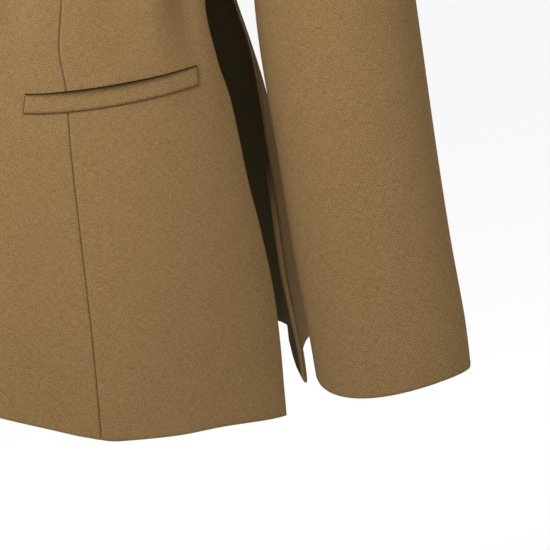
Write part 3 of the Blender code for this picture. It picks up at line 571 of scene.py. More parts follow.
def front_edge_x(level: Values) -> Values:
    """x of the front's free edge: straight, then the roll line up to the neck."""
    share = (level - CHEST_LEVEL) / (SHOULDER_LEVEL - CHEST_LEVEL)
    start = roll_x(np.float64(CHEST_LEVEL))
    slope = (ROLL_TOP_X - start) / (ROLL_TOP_LEVEL - CHEST_LEVEL) * (SHOULDER_LEVEL - CHEST_LEVEL)
    bend = NECK_HALF_WIDTH - start - slope
    upper = start + slope * share + bend * share**3
    lower = np.where(level <= BREAK_LEVEL, -OVERLAP, roll_x(level))
    return np.where(level <= CHEST_LEVEL, lower, upper)


def neck_share(x: Values) -> Values:
    """Share of the rise to the shoulder line at which the back neck is cut."""
    inner = np.minimum(np.abs(x) / NECK_HALF_WIDTH, 1.0)
    neck_height = -NECK_DROP * (1.0 - inner**NECK_POWER)
    cut = (neck_height - CHEST_LEVEL) / (shoulder_height(x) - CHEST_LEVEL)
    return np.where(x >= NECK_HALF_WIDTH, 1.0, cut)


def princess_distance(level: Values) -> Values:
    """Distance of the princess seam along the front ring."""
    return front_distance(level, PRINCESS_SEAM.read(level)[0])


def front_edge_distance(level: Values) -> Values:
    """Distance of the front's free edge along the front ring."""
    return front_distance(level, front_edge_x(level))


def vent_distance(level: Values) -> Values:
    """Distance of the side seam or of the front's vent edge along the front ring."""
    side = RINGS[Face.FRONT].length(np.minimum(level, CHEST_LEVEL))
    return np.where(level >= VENT_TOP, side, front_distance(level, VENT_EDGES.read(level)[0]))


def side_distance(level: Values) -> Values:
    """The back's vent edge or side seam, where its rings start."""
    return np.zeros_like(level)


def centre_back_distance(level: Values) -> Values:
    """Length of the back ring, from its side to the centre back."""
    return RINGS[Face.BACK].length(np.minimum(level, CHEST_LEVEL))


def closed_above_vent(level: Values) -> Values:
    """1 above the vent's top, where side and back are sewn together, 0 below it."""
    return ease((level - VENT_TOP) / VENT_CLOSING)


def at_distance(distance: float) -> Callable[[Values], Values]:
    """A line that keeps one distance from the vent edge."""
    return lambda level: np.full_like(level, distance)


def front_hem_level(distance: Values) -> Values:
    """Level of the front hem, rounded at the front corner by a circle."""
    hem = np.full_like(distance, HEM_LEVEL)
    level = FRONT_HEM.read(body_point(Face.FRONT, distance, hem)[..., 0])[0]
    inside = distance - front_distance(hem, 0.0) + OVERLAP
    short = FRONT_CORNER_RADIUS - np.clip(inside, 0.0, FRONT_CORNER_RADIUS)
    return level + FRONT_CORNER_RADIUS - np.sqrt(FRONT_CORNER_RADIUS**2 - short**2)


def back_hem_level(distance: Values) -> Values:
    """Level of the back hem at a distance from the vent edge."""
    return BACK_HEM.read(distance)[0]


@dataclass
class Places:
    """Places of a body panel's grid, hem row first, with distances to the panel's edges."""

    face: Face
    distance: Values
    level: Values
    from_left: Values
    from_right: Values
    from_hem: Values

    def points(self, lift: Values | float = 0.0) -> Grid:
        """Points of the places, moved off the surface by a lift."""
        base = body_point(self.face, self.distance, self.level)
        normal = body_normal(self.face, self.distance, self.level)
        return base + normal * np.asarray(lift)[..., None]


@dataclass
class PanelCut:
    """The cut of one body panel and how finely it is gridded."""

    face: Face
    left: Callable[[Values], Values]
    right: Callable[[Values], Values]
    hem: Callable[[Values], Values]
    columns: int
    rows_below: int = 156
    rows_above: int = 64
    neck: bool = False
    armhole: bool = False
    hem_spacing: float = 1.45

    def places(self) -> Places:
        """Lay out the grid: rows of one height up to the chest, then rows of one share of the rise.

        Returns:
            The places, hem row first. An armhole bends the upper rows up along its side.
        """
        share = clustered(self.columns)[None, :]
        down = -1.0 + np.linspace(0.0, 1.0, self.rows_below)[:, None] ** self.hem_spacing
        hem_row = np.full(share.shape, HEM_LEVEL)
        foot = self.left(hem_row) + share * (self.right(hem_row) - self.left(hem_row))
        hem = self.hem(foot)
        low_level = CHEST_LEVEL + (CHEST_LEVEL - hem) * down
        low = (low_level, self.left(low_level), self.right(low_level))
        high = self._upper(share)
        level, start, end = (np.concatenate([a, b]) for a, b in zip(low, high))
        share = np.broadcast_to(share, level.shape)
        inset = 0.5 * SEAM_GAP * (1.0 - 2.0 * share)
        width = end - start
        return Places(
            self.face,
            start + share * width + inset,
            level,
            share * width,
            (1.0 - share) * width,
            level - hem,
        )

    def _upper(self, share: Values) -> tuple[Values, Values, Values]:
        """Levels, starts and ends of the rows above the chest."""
        way = np.linspace(0.0, 1.0, self.rows_above + 1)[1:, None]
        rise = np.sin(QUARTER_TURN * way) ** RISE_SPACING
        level = CHEST_LEVEL * (1.0 - np.broadcast_to(rise, (self.rows_above, share.shape[1])))
        if self.armhole:
            edge_rise, edge_x = ARMHOLE.read(way)
            outer = share if self.face is Face.FRONT else 1.0 - share
            level = CHEST_LEVEL * (1.0 - rise - (edge_rise - rise) * outer**ARMHOLE_BEND)
        start, end = self.left(level), self.right(level)
        if self.armhole:
            edge = RINGS[self.face].distance(np.full_like(edge_x, CHEST_LEVEL), edge_x)
            if self.face is Face.FRONT:
                end = np.broadcast_to(edge, level.shape)
            else:
                start = np.broadcast_to(edge, level.shape)
        if self.neck:
            chest = np.full_like(level, CHEST_LEVEL)
            x = body_point(self.face, start + share * (end - start), chest)[..., 0]
            level = CHEST_LEVEL * (1.0 - (1.0 - level / CHEST_LEVEL) * neck_share(x))
        return level, start, end


def draw_back_last_row(*grids: Grid) -> None:
    """End walls half a seam's gap before their last row."""
    step = unit(grids[0][-2] - grids[0][-1]) * 0.5 * SEAM_GAP
    for grid in grids:
        grid[-1] += step


def underlap(grid: Grid) -> Grid:
    """Press the left front inward near the centre, so the right front laps over it."""
    moved = grid.copy()
    fade = 1.0 - ease((grid[..., 0] - UNDERLAP_START) / UNDERLAP_FADE)
    moved[..., 1] += UNDERLAP_DEPTH * fade
    return moved


@dataclass(frozen=True)
class EdgeForm:
    """How a cloth wall is shaped along its edges.

    A seam dips both skins of the wall by a bell curve and gets a fine line of painted shade in its
    groove;
    a pressed edge thins the wall by one, so its rim looks rounded.
    """

    seam_depth: float = 0.0005
    seam_width: float = 0.0009
    press_depth: float = 0.0006
    press_width: float = 0.0011
    # Fine line of painted shade along a seam's groove
    line_width: float = 0.0004
    line_shadow_dark: float = 0.38

    def line(self, distance: Values) -> Values:
        """Painted shade: the fine dark line along a seam, where its groove is in shadow."""
        return self.line_shadow_dark * bump(distance, self.line_width)

    def seam(self, distance: Values) -> Values:
        """Dip of both skins at distances from a seam."""
        return -self.seam_depth * bump(distance, self.seam_width)

    def press(self, distance: Values) -> Values:
        """How far each skin is drawn in at distances from a free edge."""
        return self.press_depth * bump(distance, self.press_width)


EDGES = EdgeForm()


Socket = bpy.types.NodeSocket
Feed = bpy.types.NodeSocket | float | tuple[float, ...]
# Point attribute of painted shade and light: the cloth's colour is scaled by one minus it
SHADE = "shade"


class TreeMaker:
    """Short ways to add and join nodes of a node tree."""

    def __init__(self, tree: bpy.types.NodeTree) -> None:
        """Keep the tree."""
        self.tree = tree

    def node(self, kind: str, **settings: object) -> bpy.types.Node:
        """Add a node and set its properties."""
        made = self.tree.nodes.new(kind)
        for name, value in settings.items():
            setattr(made, name, value)
        return made

    def feed(self, end: Socket, value: Feed) -> None:
        """Join another node's output to an input, or set the input to a value."""
        if isinstance(value, bpy.types.NodeSocket):
            self.tree.links.new(value, end)
        else:
            end.default_value = value

    def fed(
        self, kind: str, output: str | int, inputs: dict[str | int, Feed], **settings: object
    ) -> Socket:
        """Add a node with its inputs fed.

        Args:
            kind: The node's type.
            output: Name or number of the output to give.
            inputs: What feeds each input, by name or number.
            settings: The node's properties.

        Returns:
            The output.
        """
        made = self.node(kind, **settings)
        for name, value in inputs.items():
            self.feed(made.inputs[name], value)
        return made.outputs[output]

    def math(self, operation: str, *inputs: Feed) -> Socket:
        """Result of an operation on sockets or numbers."""
        return self.fed("ShaderNodeMath", 0, dict(enumerate(inputs)), operation=operation)

    def noise(self, vector: Socket, scale: float, detail: float) -> Socket:
        """Plain value of a noise texture."""
        inputs = {"Vector": vector, "Scale": scale, "Detail": detail}
        return self.fed("ShaderNodeTexNoise", "Fac", inputs)

    def stretched(self, vector: Socket, size: Triple, turn: float = 0.0) -> Socket:
        """Vector scaled, and turned about z."""
        inputs = {"Vector": vector, "Scale": size, "Rotation": (0.0, 0.0, turn)}
        return self.fed("ShaderNodeMapping", "Vector", inputs)

    def relief(self, height: Socket, depth: float, strength: float = 1.0) -> Socket:
        """Normal bumped by a height."""
        inputs = {"Height": height, "Distance": depth, "Strength": strength}
        return self.fed("ShaderNodeBump", "Normal", inputs)

    def ramp(self, mask: Socket, *stops: tuple[float, Triple]) -> Socket:
        """Colours of a mask by a ramp of rising positions and their colours."""
        made = self.node("ShaderNodeValToRGB")
        elements = made.color_ramp.elements
        for position, _ in stops[1:-1]:
            elements.new(position)
        for element, (position, colour) in zip(elements, stops):
            element.position = position
            element.color = (*colour, 1.0)
        self.feed(made.inputs["Fac"], mask)
        return made.outputs["Color"]


@dataclass(frozen=True)
class WorstedWeave:
    """Node group of a fine twill: diagonal ribs, uneven yarns and flecks of mixed fibres."""

    spacing: float = 0.0017
    rib_slope: float = 0.82
    cross_slope: float = -0.94
    cross_share: float = 0.55
    wander_scale: float = 260.0
    wander: float = 0.0016
    yarns: tuple[Triple, Triple] = ((1500.0, 260.0, 1.0), (220.0, 1300.0, 1.0))
    # scale of the noise, share of the shade
    flecks: tuple[tuple[float, float], ...] = ((620.0, 0.7), (55.0, 0.20))
    wave_shade: float = 0.62
    wave_height: float = 0.35
    rough_height: float = 0.9

    def build(self) -> bpy.types.NodeTree:
        """Make the group.

        Returns:
            The group, with a vector of metres on the cloth in and a shade and a height out.
        """
        tree = bpy.data.node_groups.new("worsted_weave", "ShaderNodeTree")
        face = tree.interface
        face.new_socket("Place", in_out="INPUT", socket_type="NodeSocketVector")
        make = TreeMaker(tree)
        place = make.node("NodeGroupInput").outputs["Place"]
        parts = make.node("ShaderNodeSeparateXYZ")
        make.feed(parts.inputs[0], place)
        x, y = parts.outputs[0], parts.outputs[1]
        wander = make.math("MULTIPLY", make.noise(place, self.wander_scale, 2.0), self.wander)
        ribs = make.math("ADD", make.math("MULTIPLY_ADD", x, self.rib_slope, y), wander)
        crossings = make.math("MULTIPLY_ADD", y, self.cross_slope, x)
        cross = self._wave(make, crossings)
        wave = make.math("MULTIPLY_ADD", cross, self.cross_share, self._wave(make, ribs))
        across, down = (make.noise(make.stretched(place, size), 1.0, 1.0) for size in self.yarns)
        rough = make.math("SUBTRACT", make.math("ADD", across, down), 1.0)
        for scale, share in self.flecks:
            fleck = make.math("SUBTRACT", make.noise(place, scale, 2.0), 0.5)
            rough = make.math("MULTIPLY_ADD", fleck, share, rough)
        low = make.math("MULTIPLY", rough, self.rough_height)
        outputs = {
            "Shade": make.math("MULTIPLY_ADD", wave, self.wave_shade, rough),
            "Height": make.math("MULTIPLY_ADD", wave, self.wave_height, low),
        }
        for name in outputs:
            face.new_socket(name, in_out="OUTPUT", socket_type="NodeSocketFloat")
        end = make.node("NodeGroupOutput")
        for name, value in outputs.items():
            make.feed(end.inputs[name], value)
        return tree

    def _wave(self, make: TreeMaker, run: Socket) -> Socket:
        """Sine wave of the ribs' spacing over a run."""
        turns = make.math("DIVIDE", run, self.spacing)
        return make.math("SINE", make.math("MULTIPLY", turns, 2.0 * math.pi))


class Finish:
    """A material whose colour and relief follow the piece's own coordinates."""

    NAME = ""
    COORDINATES = "Object"

    def build(self) -> bpy.types.Material:
        """Make the material and feed its shader."""
        material = bpy.data.materials.new(self.NAME)
        material.use_nodes = True
        make = TreeMaker(material.node_tree)
        shader = material.node_tree.nodes["Principled BSDF"]
        place = make.node("ShaderNodeTexCoord").outputs[self.COORDINATES]
        for name, value in self.look(make, place).items():
            make.feed(shader.inputs[name], value)
        return material

    def look(self, make: TreeMaker, place: Socket) -> dict[str, Feed]:
        """What feeds the shader's inputs, by name."""
        raise NotImplementedError


@dataclass(frozen=True)
class WorstedFinish(Finish):
    """Fine wool suiting: a mixed tan and olive brown, matt with a soft nap."""

    NAME = "worsted"
    COORDINATES = "UV"
    colour: Triple = (0.114, 0.0695, 0.0282)
    dark: Triple = (0.055, 0.0325, 0.0115)
    light: Triple = (0.190, 0.1215, 0.0545)
    contrast: float = 0.62
    roughness: float = 0.95
    specular: float = 0.02
    relief: float = 0.00022
    strength: float = 0.6

    def look(self, make: TreeMaker, place: Socket) -> dict[str, Feed]:
        """The weave on metres of cloth, its colour scaled by the painted shade and light of the
        piece's points.
        """
        weave = make.node("ShaderNodeGroup", node_tree=WorstedWeave().build())
        make.feed(weave.inputs["Place"], place)
        mask = make.math("MULTIPLY_ADD", weave.outputs["Shade"], self.contrast, 0.5)
        colour = make.ramp(mask, (0.0, self.dark), (0.5, self.colour), (1.0, self.light))
        # Painted shade and light held by the points scale the colour
        shade = make.node("ShaderNodeAttribute", attribute_name=SHADE).outputs["Fac"]
        inputs = {0: colour, "Scale": make.math("SUBTRACT", 1.0, shade)}
        return {
            "Base Color": make.fed("ShaderNodeVectorMath", "Vector", inputs, operation="SCALE"),
            "Normal": make.relief(weave.outputs["Height"], self.relief, self.strength),
            "Roughness": self.roughness,
            "Specular IOR Level": self.specular,
        }


@dataclass(frozen=True)
class LiningFinish(Finish):
    """Dark brown satin lining with fine streaks along the warp, made near black as painted shade of
    the jacket's unlit inside.
    """

    NAME = "lining"
    COORDINATES = "UV"
    # Near-black brown: the lining's own dark colour with painted shade of the unlit inside
    dark: Triple = (0.0280, 0.0200, 0.0085)
    light: Triple = (0.0420, 0.0300, 0.0130)
    streaks: Triple = (900.0, 40.0, 1.0)
    roughness: float = 0.65
    roughness_spread: float = 0.2
    gloss: float = 0.04
    relief: float = 0.00006

    def look(self, make: TreeMaker, place: Socket) -> dict[str, Feed]:
        """Streaks of noise on metres of cloth."""
        streak = make.noise(make.stretched(place, self.streaks), 1.0, 2.0)
        return {
            "Base Color": make.ramp(streak, (0.0, self.dark), (1.0, self.light)),
            "Roughness": make.math("MULTIPLY_ADD", streak, self.roughness_spread, self.roughness),
            "Specular IOR Level": self.gloss,
            "Normal": make.relief(streak, self.relief),
        }


@dataclass(frozen=True)
class HornFinish(Finish):
    """Button horn: dark brown with paler clouds, softly polished."""

    NAME = "horn"
    dark: Triple = (0.028, 0.016, 0.008)
    light: Triple = (0.120, 0.070, 0.034)
    clouds: Triple = (90.0, 90.0, 220.0)
    turn: float = 0.5
    roughness: float = 0.24
    roughness_spread: float = 0.2

    def look(self, make: TreeMaker, place: Socket) -> dict[str, Feed]:
        """Clouds of noise."""
        cloud = make.noise(make.stretched(place, self.clouds, self.turn), 1.0, 3.0)
        return {
            "Base Color": make.ramp(cloud, (0.35, self.dark), (0.75, self.light)),
            "Roughness": make.math("MULTIPLY_ADD", cloud, self.roughness_spread, self.roughness),
        }


@dataclass(frozen=True)
class ThreadFinish(Finish):
    """Sewing thread with a twist that shows as fine cross bands."""

    NAME = "thread"
    dark: Triple = (0.0690, 0.0432, 0.0204)
    light: Triple = (0.1725, 0.1080, 0.0510)
    bands: float = 2600.0
    roughness: float = 0.6

    def look(self, make: TreeMaker, place: Socket) -> dict[str, Feed]:
        """Bands of noise."""
        band = make.noise(place, self.bands, 1.0)
        colour = make.ramp(band, (0.0, self.dark), (1.0, self.light))
        return {"Base Color": colour, "Roughness": self.roughness}


class Finishes:
    """The jacket's finishes, each made once."""

    def __init__(self) -> None:
        """Make them."""
        self.cloth = WorstedFinish().build()
        self.lining = LiningFinish().build()
        self.horn = HornFinish().build()
        self.thread = ThreadFinish().build()
        self.lined = (self.cloth, self.lining)


CLOTH_SLOT = "suit_cloth"
LINING_SLOT = "lining_satin"
BUTTON_SLOT = "button_horn"
BODY = "root"
RIM_ANGLE = 50.0
SAME_PLACE = 1e-6
TUBE_SIDES = 10


def run_lengths(grid: Grid, axis: int) -> Values:
    """Length run along rows or columns of a grid, from its first point."""
    steps = np.linalg.norm(np.diff(grid, axis=axis), axis=-1)
    start = np.zeros_like(np.take(steps, [0], axis=axis))
    return np.concatenate([start, np.cumsum(steps, axis=axis)], axis=axis)


@dataclass(frozen=True)
class Sheet:
    """One cut piece: its word, flat size, what it is sewn to, flat area, hold and finish.

    The words go after a side in names, unless the piece has no side of its own.
    """

    word: str
    flat: tuple[float, float]
    rests_on: tuple[str, ...]
    area: float | None = None
    held: str = "draped"
    slot: str = CLOTH_SLOT


@dataclass
class Shell:
    """A closed cloth wall between an outer and an inner grid of points.

    The first row is the lower edge and the first column the left one, seen from outside.
    uv holds metres on the cloth; lined tells which inner points are lining; shade is the shade
    painted into the cloth's colour at each point, below 0 where light is painted and it is paler.
    """

    outer: Grid
    inner: Grid
    uv: Grid | None = None
    lined: Values | None = None
    shade: Values | None = None

    def _cells(self) -> tuple[Values, Values, Values]:
        """Corner numbers of outer cells, inner cells and the rim round them."""
        rows, columns = self.outer.shape[:2]
        index = np.arange(rows * columns).reshape(rows, columns)
        a, b = index[:-1, :-1].ravel(), index[:-1, 1:].ravel()
        d, e = index[1:, :-1].ravel(), index[1:, 1:].ravel()
        offset = rows * columns
        outer = np.stack([a, b, e, d], axis=1)
        inner = np.stack([a, d, e, b], axis=1) + offset
        edge = np.concatenate(
            [index[0, :], index[1:, -1], index[-1, -2::-1], index[-2:0:-1, 0]]
        )
        after = np.roll(edge, -1)
        rim = np.stack([edge, edge + offset, after + offset, after], axis=1)
        return outer, inner, rim

    def build(
        self, name: str, materials: tuple[bpy.types.Material, ...], side: Side | None
    ) -> bpy.types.Object:
        """Make the object.

        Args:
            name: Its name.
            materials: The cloth, and the lining where lined is given.
            side: The right side is the left one mirrored, with its faces turned round.

        Returns:
            The object, smooth but for its rims.
        """
        outer, inner, rim = self._cells()
        points = np.concatenate([self.outer.reshape(-1, 3), self.inner.reshape(-1, 3)])
        faces = np.concatenate([outer, inner, rim])
        if side is Side.RIGHT:
            points = points * np.array([-1.0, 1.0, 1.0])
            faces = faces[:, ::-1]
        mesh = bpy.data.meshes.new(name)
        mesh.from_pydata(points, [], faces.tolist())
        uv = self.uv
        if uv is None:
            uv = stack(run_lengths(self.outer, 1), run_lengths(self.outer, 0))
        flat = np.concatenate([uv.reshape(-1, 2)] * 2)
        layer = mesh.uv_layers.new(name="cloth")
        layer.data.foreach_set("uv", flat[faces.ravel()].astype(np.float32).ravel())
        for material in materials:
            mesh.materials.append(material)
        if self.shade is not None:
            attribute = mesh.attributes.new(SHADE, "FLOAT", "POINT")
            values = np.tile(self.shade.ravel(), 2).astype(np.float32)
            attribute.data.foreach_set("value", values)
        if self.lined is not None:
            slots = np.zeros(len(faces), dtype=np.int32)
            slots[len(outer) : 2 * len(outer)] = self.lined[:-1, :-1].ravel()
            mesh.polygons.foreach_set("material_index", slots)
        mesh.shade_smooth()
        mesh.set_sharp_from_angle(angle=math.radians(RIM_ANGLE))
        LOG.info("%s: %d faces", name, len(faces))
        return add_object(name, mesh)


def add_object(name: str, data: bpy.types.ID) -> bpy.types.Object:
    """Make an object of the data and put it in the scene."""
    item = bpy.data.objects.new(name, data)
    bpy.context.scene.collection.objects.link(item)
    return item


def tie(item: bpy.types.Object, slot: str, node: str = "") -> None:
    """Attach a piece to the body, and hide the part of the node that it stands for, if any."""
    if node:
        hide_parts(node)
    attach(item, BODY)


def sew(
    shell: Shell,
    sheet: Sheet,
    materials: tuple[bpy.types.Material, ...],
    side: Side | None = None,
) -> None:
    """Make a cloth piece with its finishes and attach it to the body in place of its node.

    Args:
        shell: Its wall.
        sheet: Its cut.
        materials: The cloth, and the lining where the wall is lined.
        side: Its side, or None for a piece that crosses the middle.
    """
    start = f"{side.word}_" if side is not None else ""
    name = start + sheet.word
    item = shell.build(f"{name}_cloth", materials, side)
    tie(item, sheet.slot, name)
    rests_on = [start + word for word in sheet.rests_on]


@dataclass
class Fronts:
    """Front and side front panels of both sides, with self-cloth facings inside."""

    finishes: Finishes
    facing_width: float = 0.075
    front_columns: int = 72
    side_columns: int = 86
    hem_turn: float = 0.040
    front_sheet: Sheet = Sheet("front", (0.150, 0.720), ("back", "lapel"), 0.081)
    side_sheet: Sheet = Sheet("side_front", (0.205, 0.690), ("back", "lapel"), 0.104)

    def build(self) -> None:
        """Make both panels of both sides."""
        front = PanelCut(
            Face.FRONT, front_edge_distance, princess_distance, front_hem_level, self.front_columns
        ).places()
        side = PanelCut(
            Face.FRONT,
            princess_distance,
            vent_distance,
            front_hem_level,
            self.side_columns,
            armhole=True,
        ).places()
        self._panel(self.front_sheet, front, self._front_walls(front))
        self._panel(self.side_sheet, side, self._side_walls(side))

    def _front_walls(self, places: Places) -> tuple[Grid, Grid]:
        """Walls of the front: a pressed free edge and hem, and the princess seam."""
        seam = EDGES.seam(places.from_right)
        press = EDGES.press(np.minimum(places.from_left, places.from_hem))
        return places.points(seam - press), places.points(seam + press - CLOTH)

    def _side_walls(self, places: Places) -> tuple[Grid, Grid]:
        """Walls of the side front: two seams, then a pressed vent edge and hem."""
        above = closed_above_vent(places.level)
        seam = EDGES.seam(places.from_left) + above * EDGES.seam(places.from_right)
        free = np.minimum(places.from_right + CLOSED_OFFSET * above, places.from_hem)
        press = EDGES.press(free)
        return places.points(seam - press), places.points(seam + press - CLOTH)

    def _panel(self, sheet: Sheet, places: Places, walls: tuple[Grid, Grid]) -> None:
        """Make one panel for both sides, the left front pressed in under the right one."""
        draw_back_last_row(*walls)
        is_front = sheet is self.front_sheet
        centre = front_distance(places.level, np.zeros_like(places.level))
        uv = stack(places.distance - centre, run_lengths(walls[0], 0) + places.level[:1])
        lined = places.from_hem >= self.hem_turn
        if is_front:
            lined = lined & (places.from_left >= self.facing_width)
        # Painted shade: a fine dark line along the princess seam, where its groove is in shadow
        shade = EDGES.line(places.from_right if is_front else places.from_left)
        for side in Side:
            tucked = is_front and side is Side.LEFT
            pressed = [underlap(grid) for grid in walls] if tucked else walls
            sew(Shell(*pressed, uv, lined, shade), sheet, self.finishes.lined, side)


@dataclass
class Backs:
    """Both backs, joined by the centre back seam."""

    finishes: Finishes
    columns: int = 118
    hem_turn: float = 0.040
    edge_turn: float = 0.020
    sheet: Sheet = Sheet("back", (0.345, 0.715), ("side_front",), 0.195)
    # Painted shadow of the sleeve on the flank, and a painted highlight along the vent edge
    flank_shadow: float = 0.18
    pale_edge: float = 0.35
    pale_width: float = 0.0016
    shade_fade: float = 0.05
    flank_start: float = 0.004
    flank_end: float = 0.06
    edge_thinning: float = 1.5

    def places(self) -> Places:
        """Places of the back panel."""
        cut = PanelCut(
            Face.BACK,
            side_distance,
            centre_back_distance,
            back_hem_level,
            self.columns,
            neck=True,
            armhole=True,
        )
        return cut.places()

    def flank_shade(self, places: Places) -> Values:
        """Painted light and shade of the flank: a painted highlight along the vent edge, then the
        painted shadow of the sleeve on the cloth beside it.
        """
        below = ease((VENT_TOP - places.level) / self.shade_fade)
        fading = ease((places.from_left - self.flank_end) / self.shade_fade)
        flank = ease(places.from_left / self.flank_start) * (1.0 - fading)
        edge = bump(places.from_left, self.pale_width)
        return below * (self.flank_shadow * flank - self.pale_edge * edge)

    def build(self) -> None:
        """Make both backs, with their hem turned up inside."""
        places = self.places()
        above = closed_above_vent(places.level)
        seam = EDGES.seam(places.from_right) + above * EDGES.seam(places.from_left)
        free = np.minimum(places.from_left + CLOSED_OFFSET * above, places.from_hem)
        vent_edge = self.edge_thinning * EDGES.press(places.from_left + CLOSED_OFFSET * above)
        outer = places.points(seam - np.maximum(EDGES.press(free), vent_edge))
        inner = places.points(seam + EDGES.press(places.from_hem) - CLOTH)
        draw_back_last_row(outer, inner)
        uv = stack(places.distance, run_lengths(outer, 0) + places.level[:1])
        lined = (places.from_hem >= self.hem_turn) & (places.from_left > self.edge_turn)
        shell = Shell(outer, inner, uv, lined, self.flank_shade(places))
        for side in Side:
            sew(shell, self.sheet, self.finishes.lined, side)


@dataclass
class VentLayers:
    """Facings turned in at the backs' vent edges, and the lining behind them."""

    finishes: Finishes
    facing_width: float = 0.077
    setback: float = 0.0006
    start: float = VENT_TOP - 0.006
    lining_level: float = -0.690
    facing_sheet: Sheet = Sheet("vent_facing", (0.078, 0.370), ("back",))
    lining_sheet: Sheet = Sheet("back_lining", (0.275, 0.350), ("back",), slot=LINING_SLOT)
    rows: int = 140
    facing_columns: int = 26
    lining_columns: int = 56
    gap: float = 0.0001
    sewn_depth: float = 0.0005
    sewn_width: float = 0.0050
    edge_thinning: float = 1.0
    drop_speed: float = 1.15
    # Painted light in a band along the facing's edge, and painted shade deeper in the vent
    pale: float = 1.00
    dark: float = 0.62
    light_start: float = -0.530
    light_run: float = 0.060
    light_middle: tuple[float, float] = (-0.625, 0.040)
    light_slope: float = 0.31
    light_core: float = 0.25

    def build(self) -> None:
        """Make the facings and the linings of both sides."""
        facing = self._strip(
            at_distance(self.setback),
            at_distance(self.facing_width),
            LOWEST_LEVEL,
            self.facing_columns,
        )
        inner = self._strip(
            at_distance(self.facing_width + SEAM_GAP),
            centre_back_distance,
            self.lining_level,
            self.lining_columns,
        )
        self._layer(self.facing_sheet, facing, FACING_CLOTH, self.finishes.cloth)
        self._layer(self.lining_sheet, inner, LINING_CLOTH, self.finishes.lining)

    def _strip(
        self,
        left: Callable[[Values], Values],
        right: Callable[[Values], Values],
        lowest: float,
        columns: int,
    ) -> Places:
        """Places between two lines, from the back's hem or a lowest level to the vent's top."""
        share = np.linspace(0.0, 1.0, columns)[None, :]
        up = np.linspace(0.0, 1.0, self.rows)[:, None]
        foot = np.full((1, columns), HEM_LEVEL)
        distance = left(foot) + share * (right(foot) - left(foot))
        low = np.maximum(back_hem_level(distance), lowest)
        level = low + (self.start - low) * up
        start, end = left(level), right(level)
        width = end - start
        return Places(
            Face.BACK,
            start + share * width,
            level,
            share * width,
            (1.0 - share) * width,
            level - low,
        )

    def _layer(
        self, sheet: Sheet, places: Places, thickness: float, material: bpy.types.Material
    ) -> None:
        """Make one layer inside both backs; it falls away from them towards the hem."""
        drop = INNER_LAYER_DROP.read(places.distance)[0]
        drop = drop * ease((VENT_TOP - places.level) / (VENT_TOP - HEM_LEVEL) * self.drop_speed)
        sewn = self.sewn_depth * bump(places.distance, self.sewn_width)
        lift = sewn - (CLOTH + self.gap + drop)
        press = self.edge_thinning * EDGES.press(np.minimum(places.from_left, places.from_hem))
        outer, inner = places.points(lift), places.points(lift - thickness + press)
        uv = stack(places.distance, run_lengths(outer, 0) + places.level[:1])
        shell = Shell(outer, inner, uv, None, self.shade(places))
        for side in Side:
            sew(shell, sheet, (material,), side)

    def shade(self, places: Places) -> Values:
        """Painted shade of the facing, dark deep in the vent, with painted light in a band by its
        edge that starts low and narrows down.
        """
        middle, width = self.light_middle
        reach = width + self.light_slope * (places.level - middle)
        near = 1.0 - ease((places.distance / reach - self.light_core) / (1.0 - self.light_core))
        low = ease((self.light_start - places.level) / self.light_run)
        return self.dark - (self.dark + self.pale) * near * low


def armhole_point(portion: Values, face: Face) -> Grid:
    """Points of the armhole's rim at shares of the way up."""
    rise, x = ARMHOLE.read(portion)
    distance = RINGS[face].distance(np.full_like(x, CHEST_LEVEL), x)
    return body_point(face, distance, CHEST_LEVEL * (1.0 - rise))


def armhole_ring(angle: Values) -> Grid:
    """Points of the armhole's rim at angles round the sleeve in degrees."""
    angle = angle % 360.0
    front = armhole_point(np.clip(1.0 - angle / 180.0, 0.0, 1.0), Face.FRONT)
    back = armhole_point(np.clip(angle / 180.0 - 1.0, 0.0, 1.0), Face.BACK)
    return np.where((angle <= 180.0)[..., None], front, back)


def sleeve_section(run: Values, angle: Values) -> Grid:
    """Points of the sleeve's plain oval section at shares of its run and angles."""
    outer_x, outer_z, inner_x, inner_z, middle_y, half_depth, drop, twist = SLEEVE.read(run)
    outer, inner = stack(outer_x, middle_y, outer_z), stack(inner_x, middle_y, inner_z)
    cosine, sine = np.cos(np.radians(angle)), np.sin(np.radians(angle))
    front = stack(0.0 * drop, -half_depth, twist * cosine - drop)
    middle = 0.5 * (outer + inner)
    return middle + cosine[..., None] * (outer - middle) + sine[..., None] * front


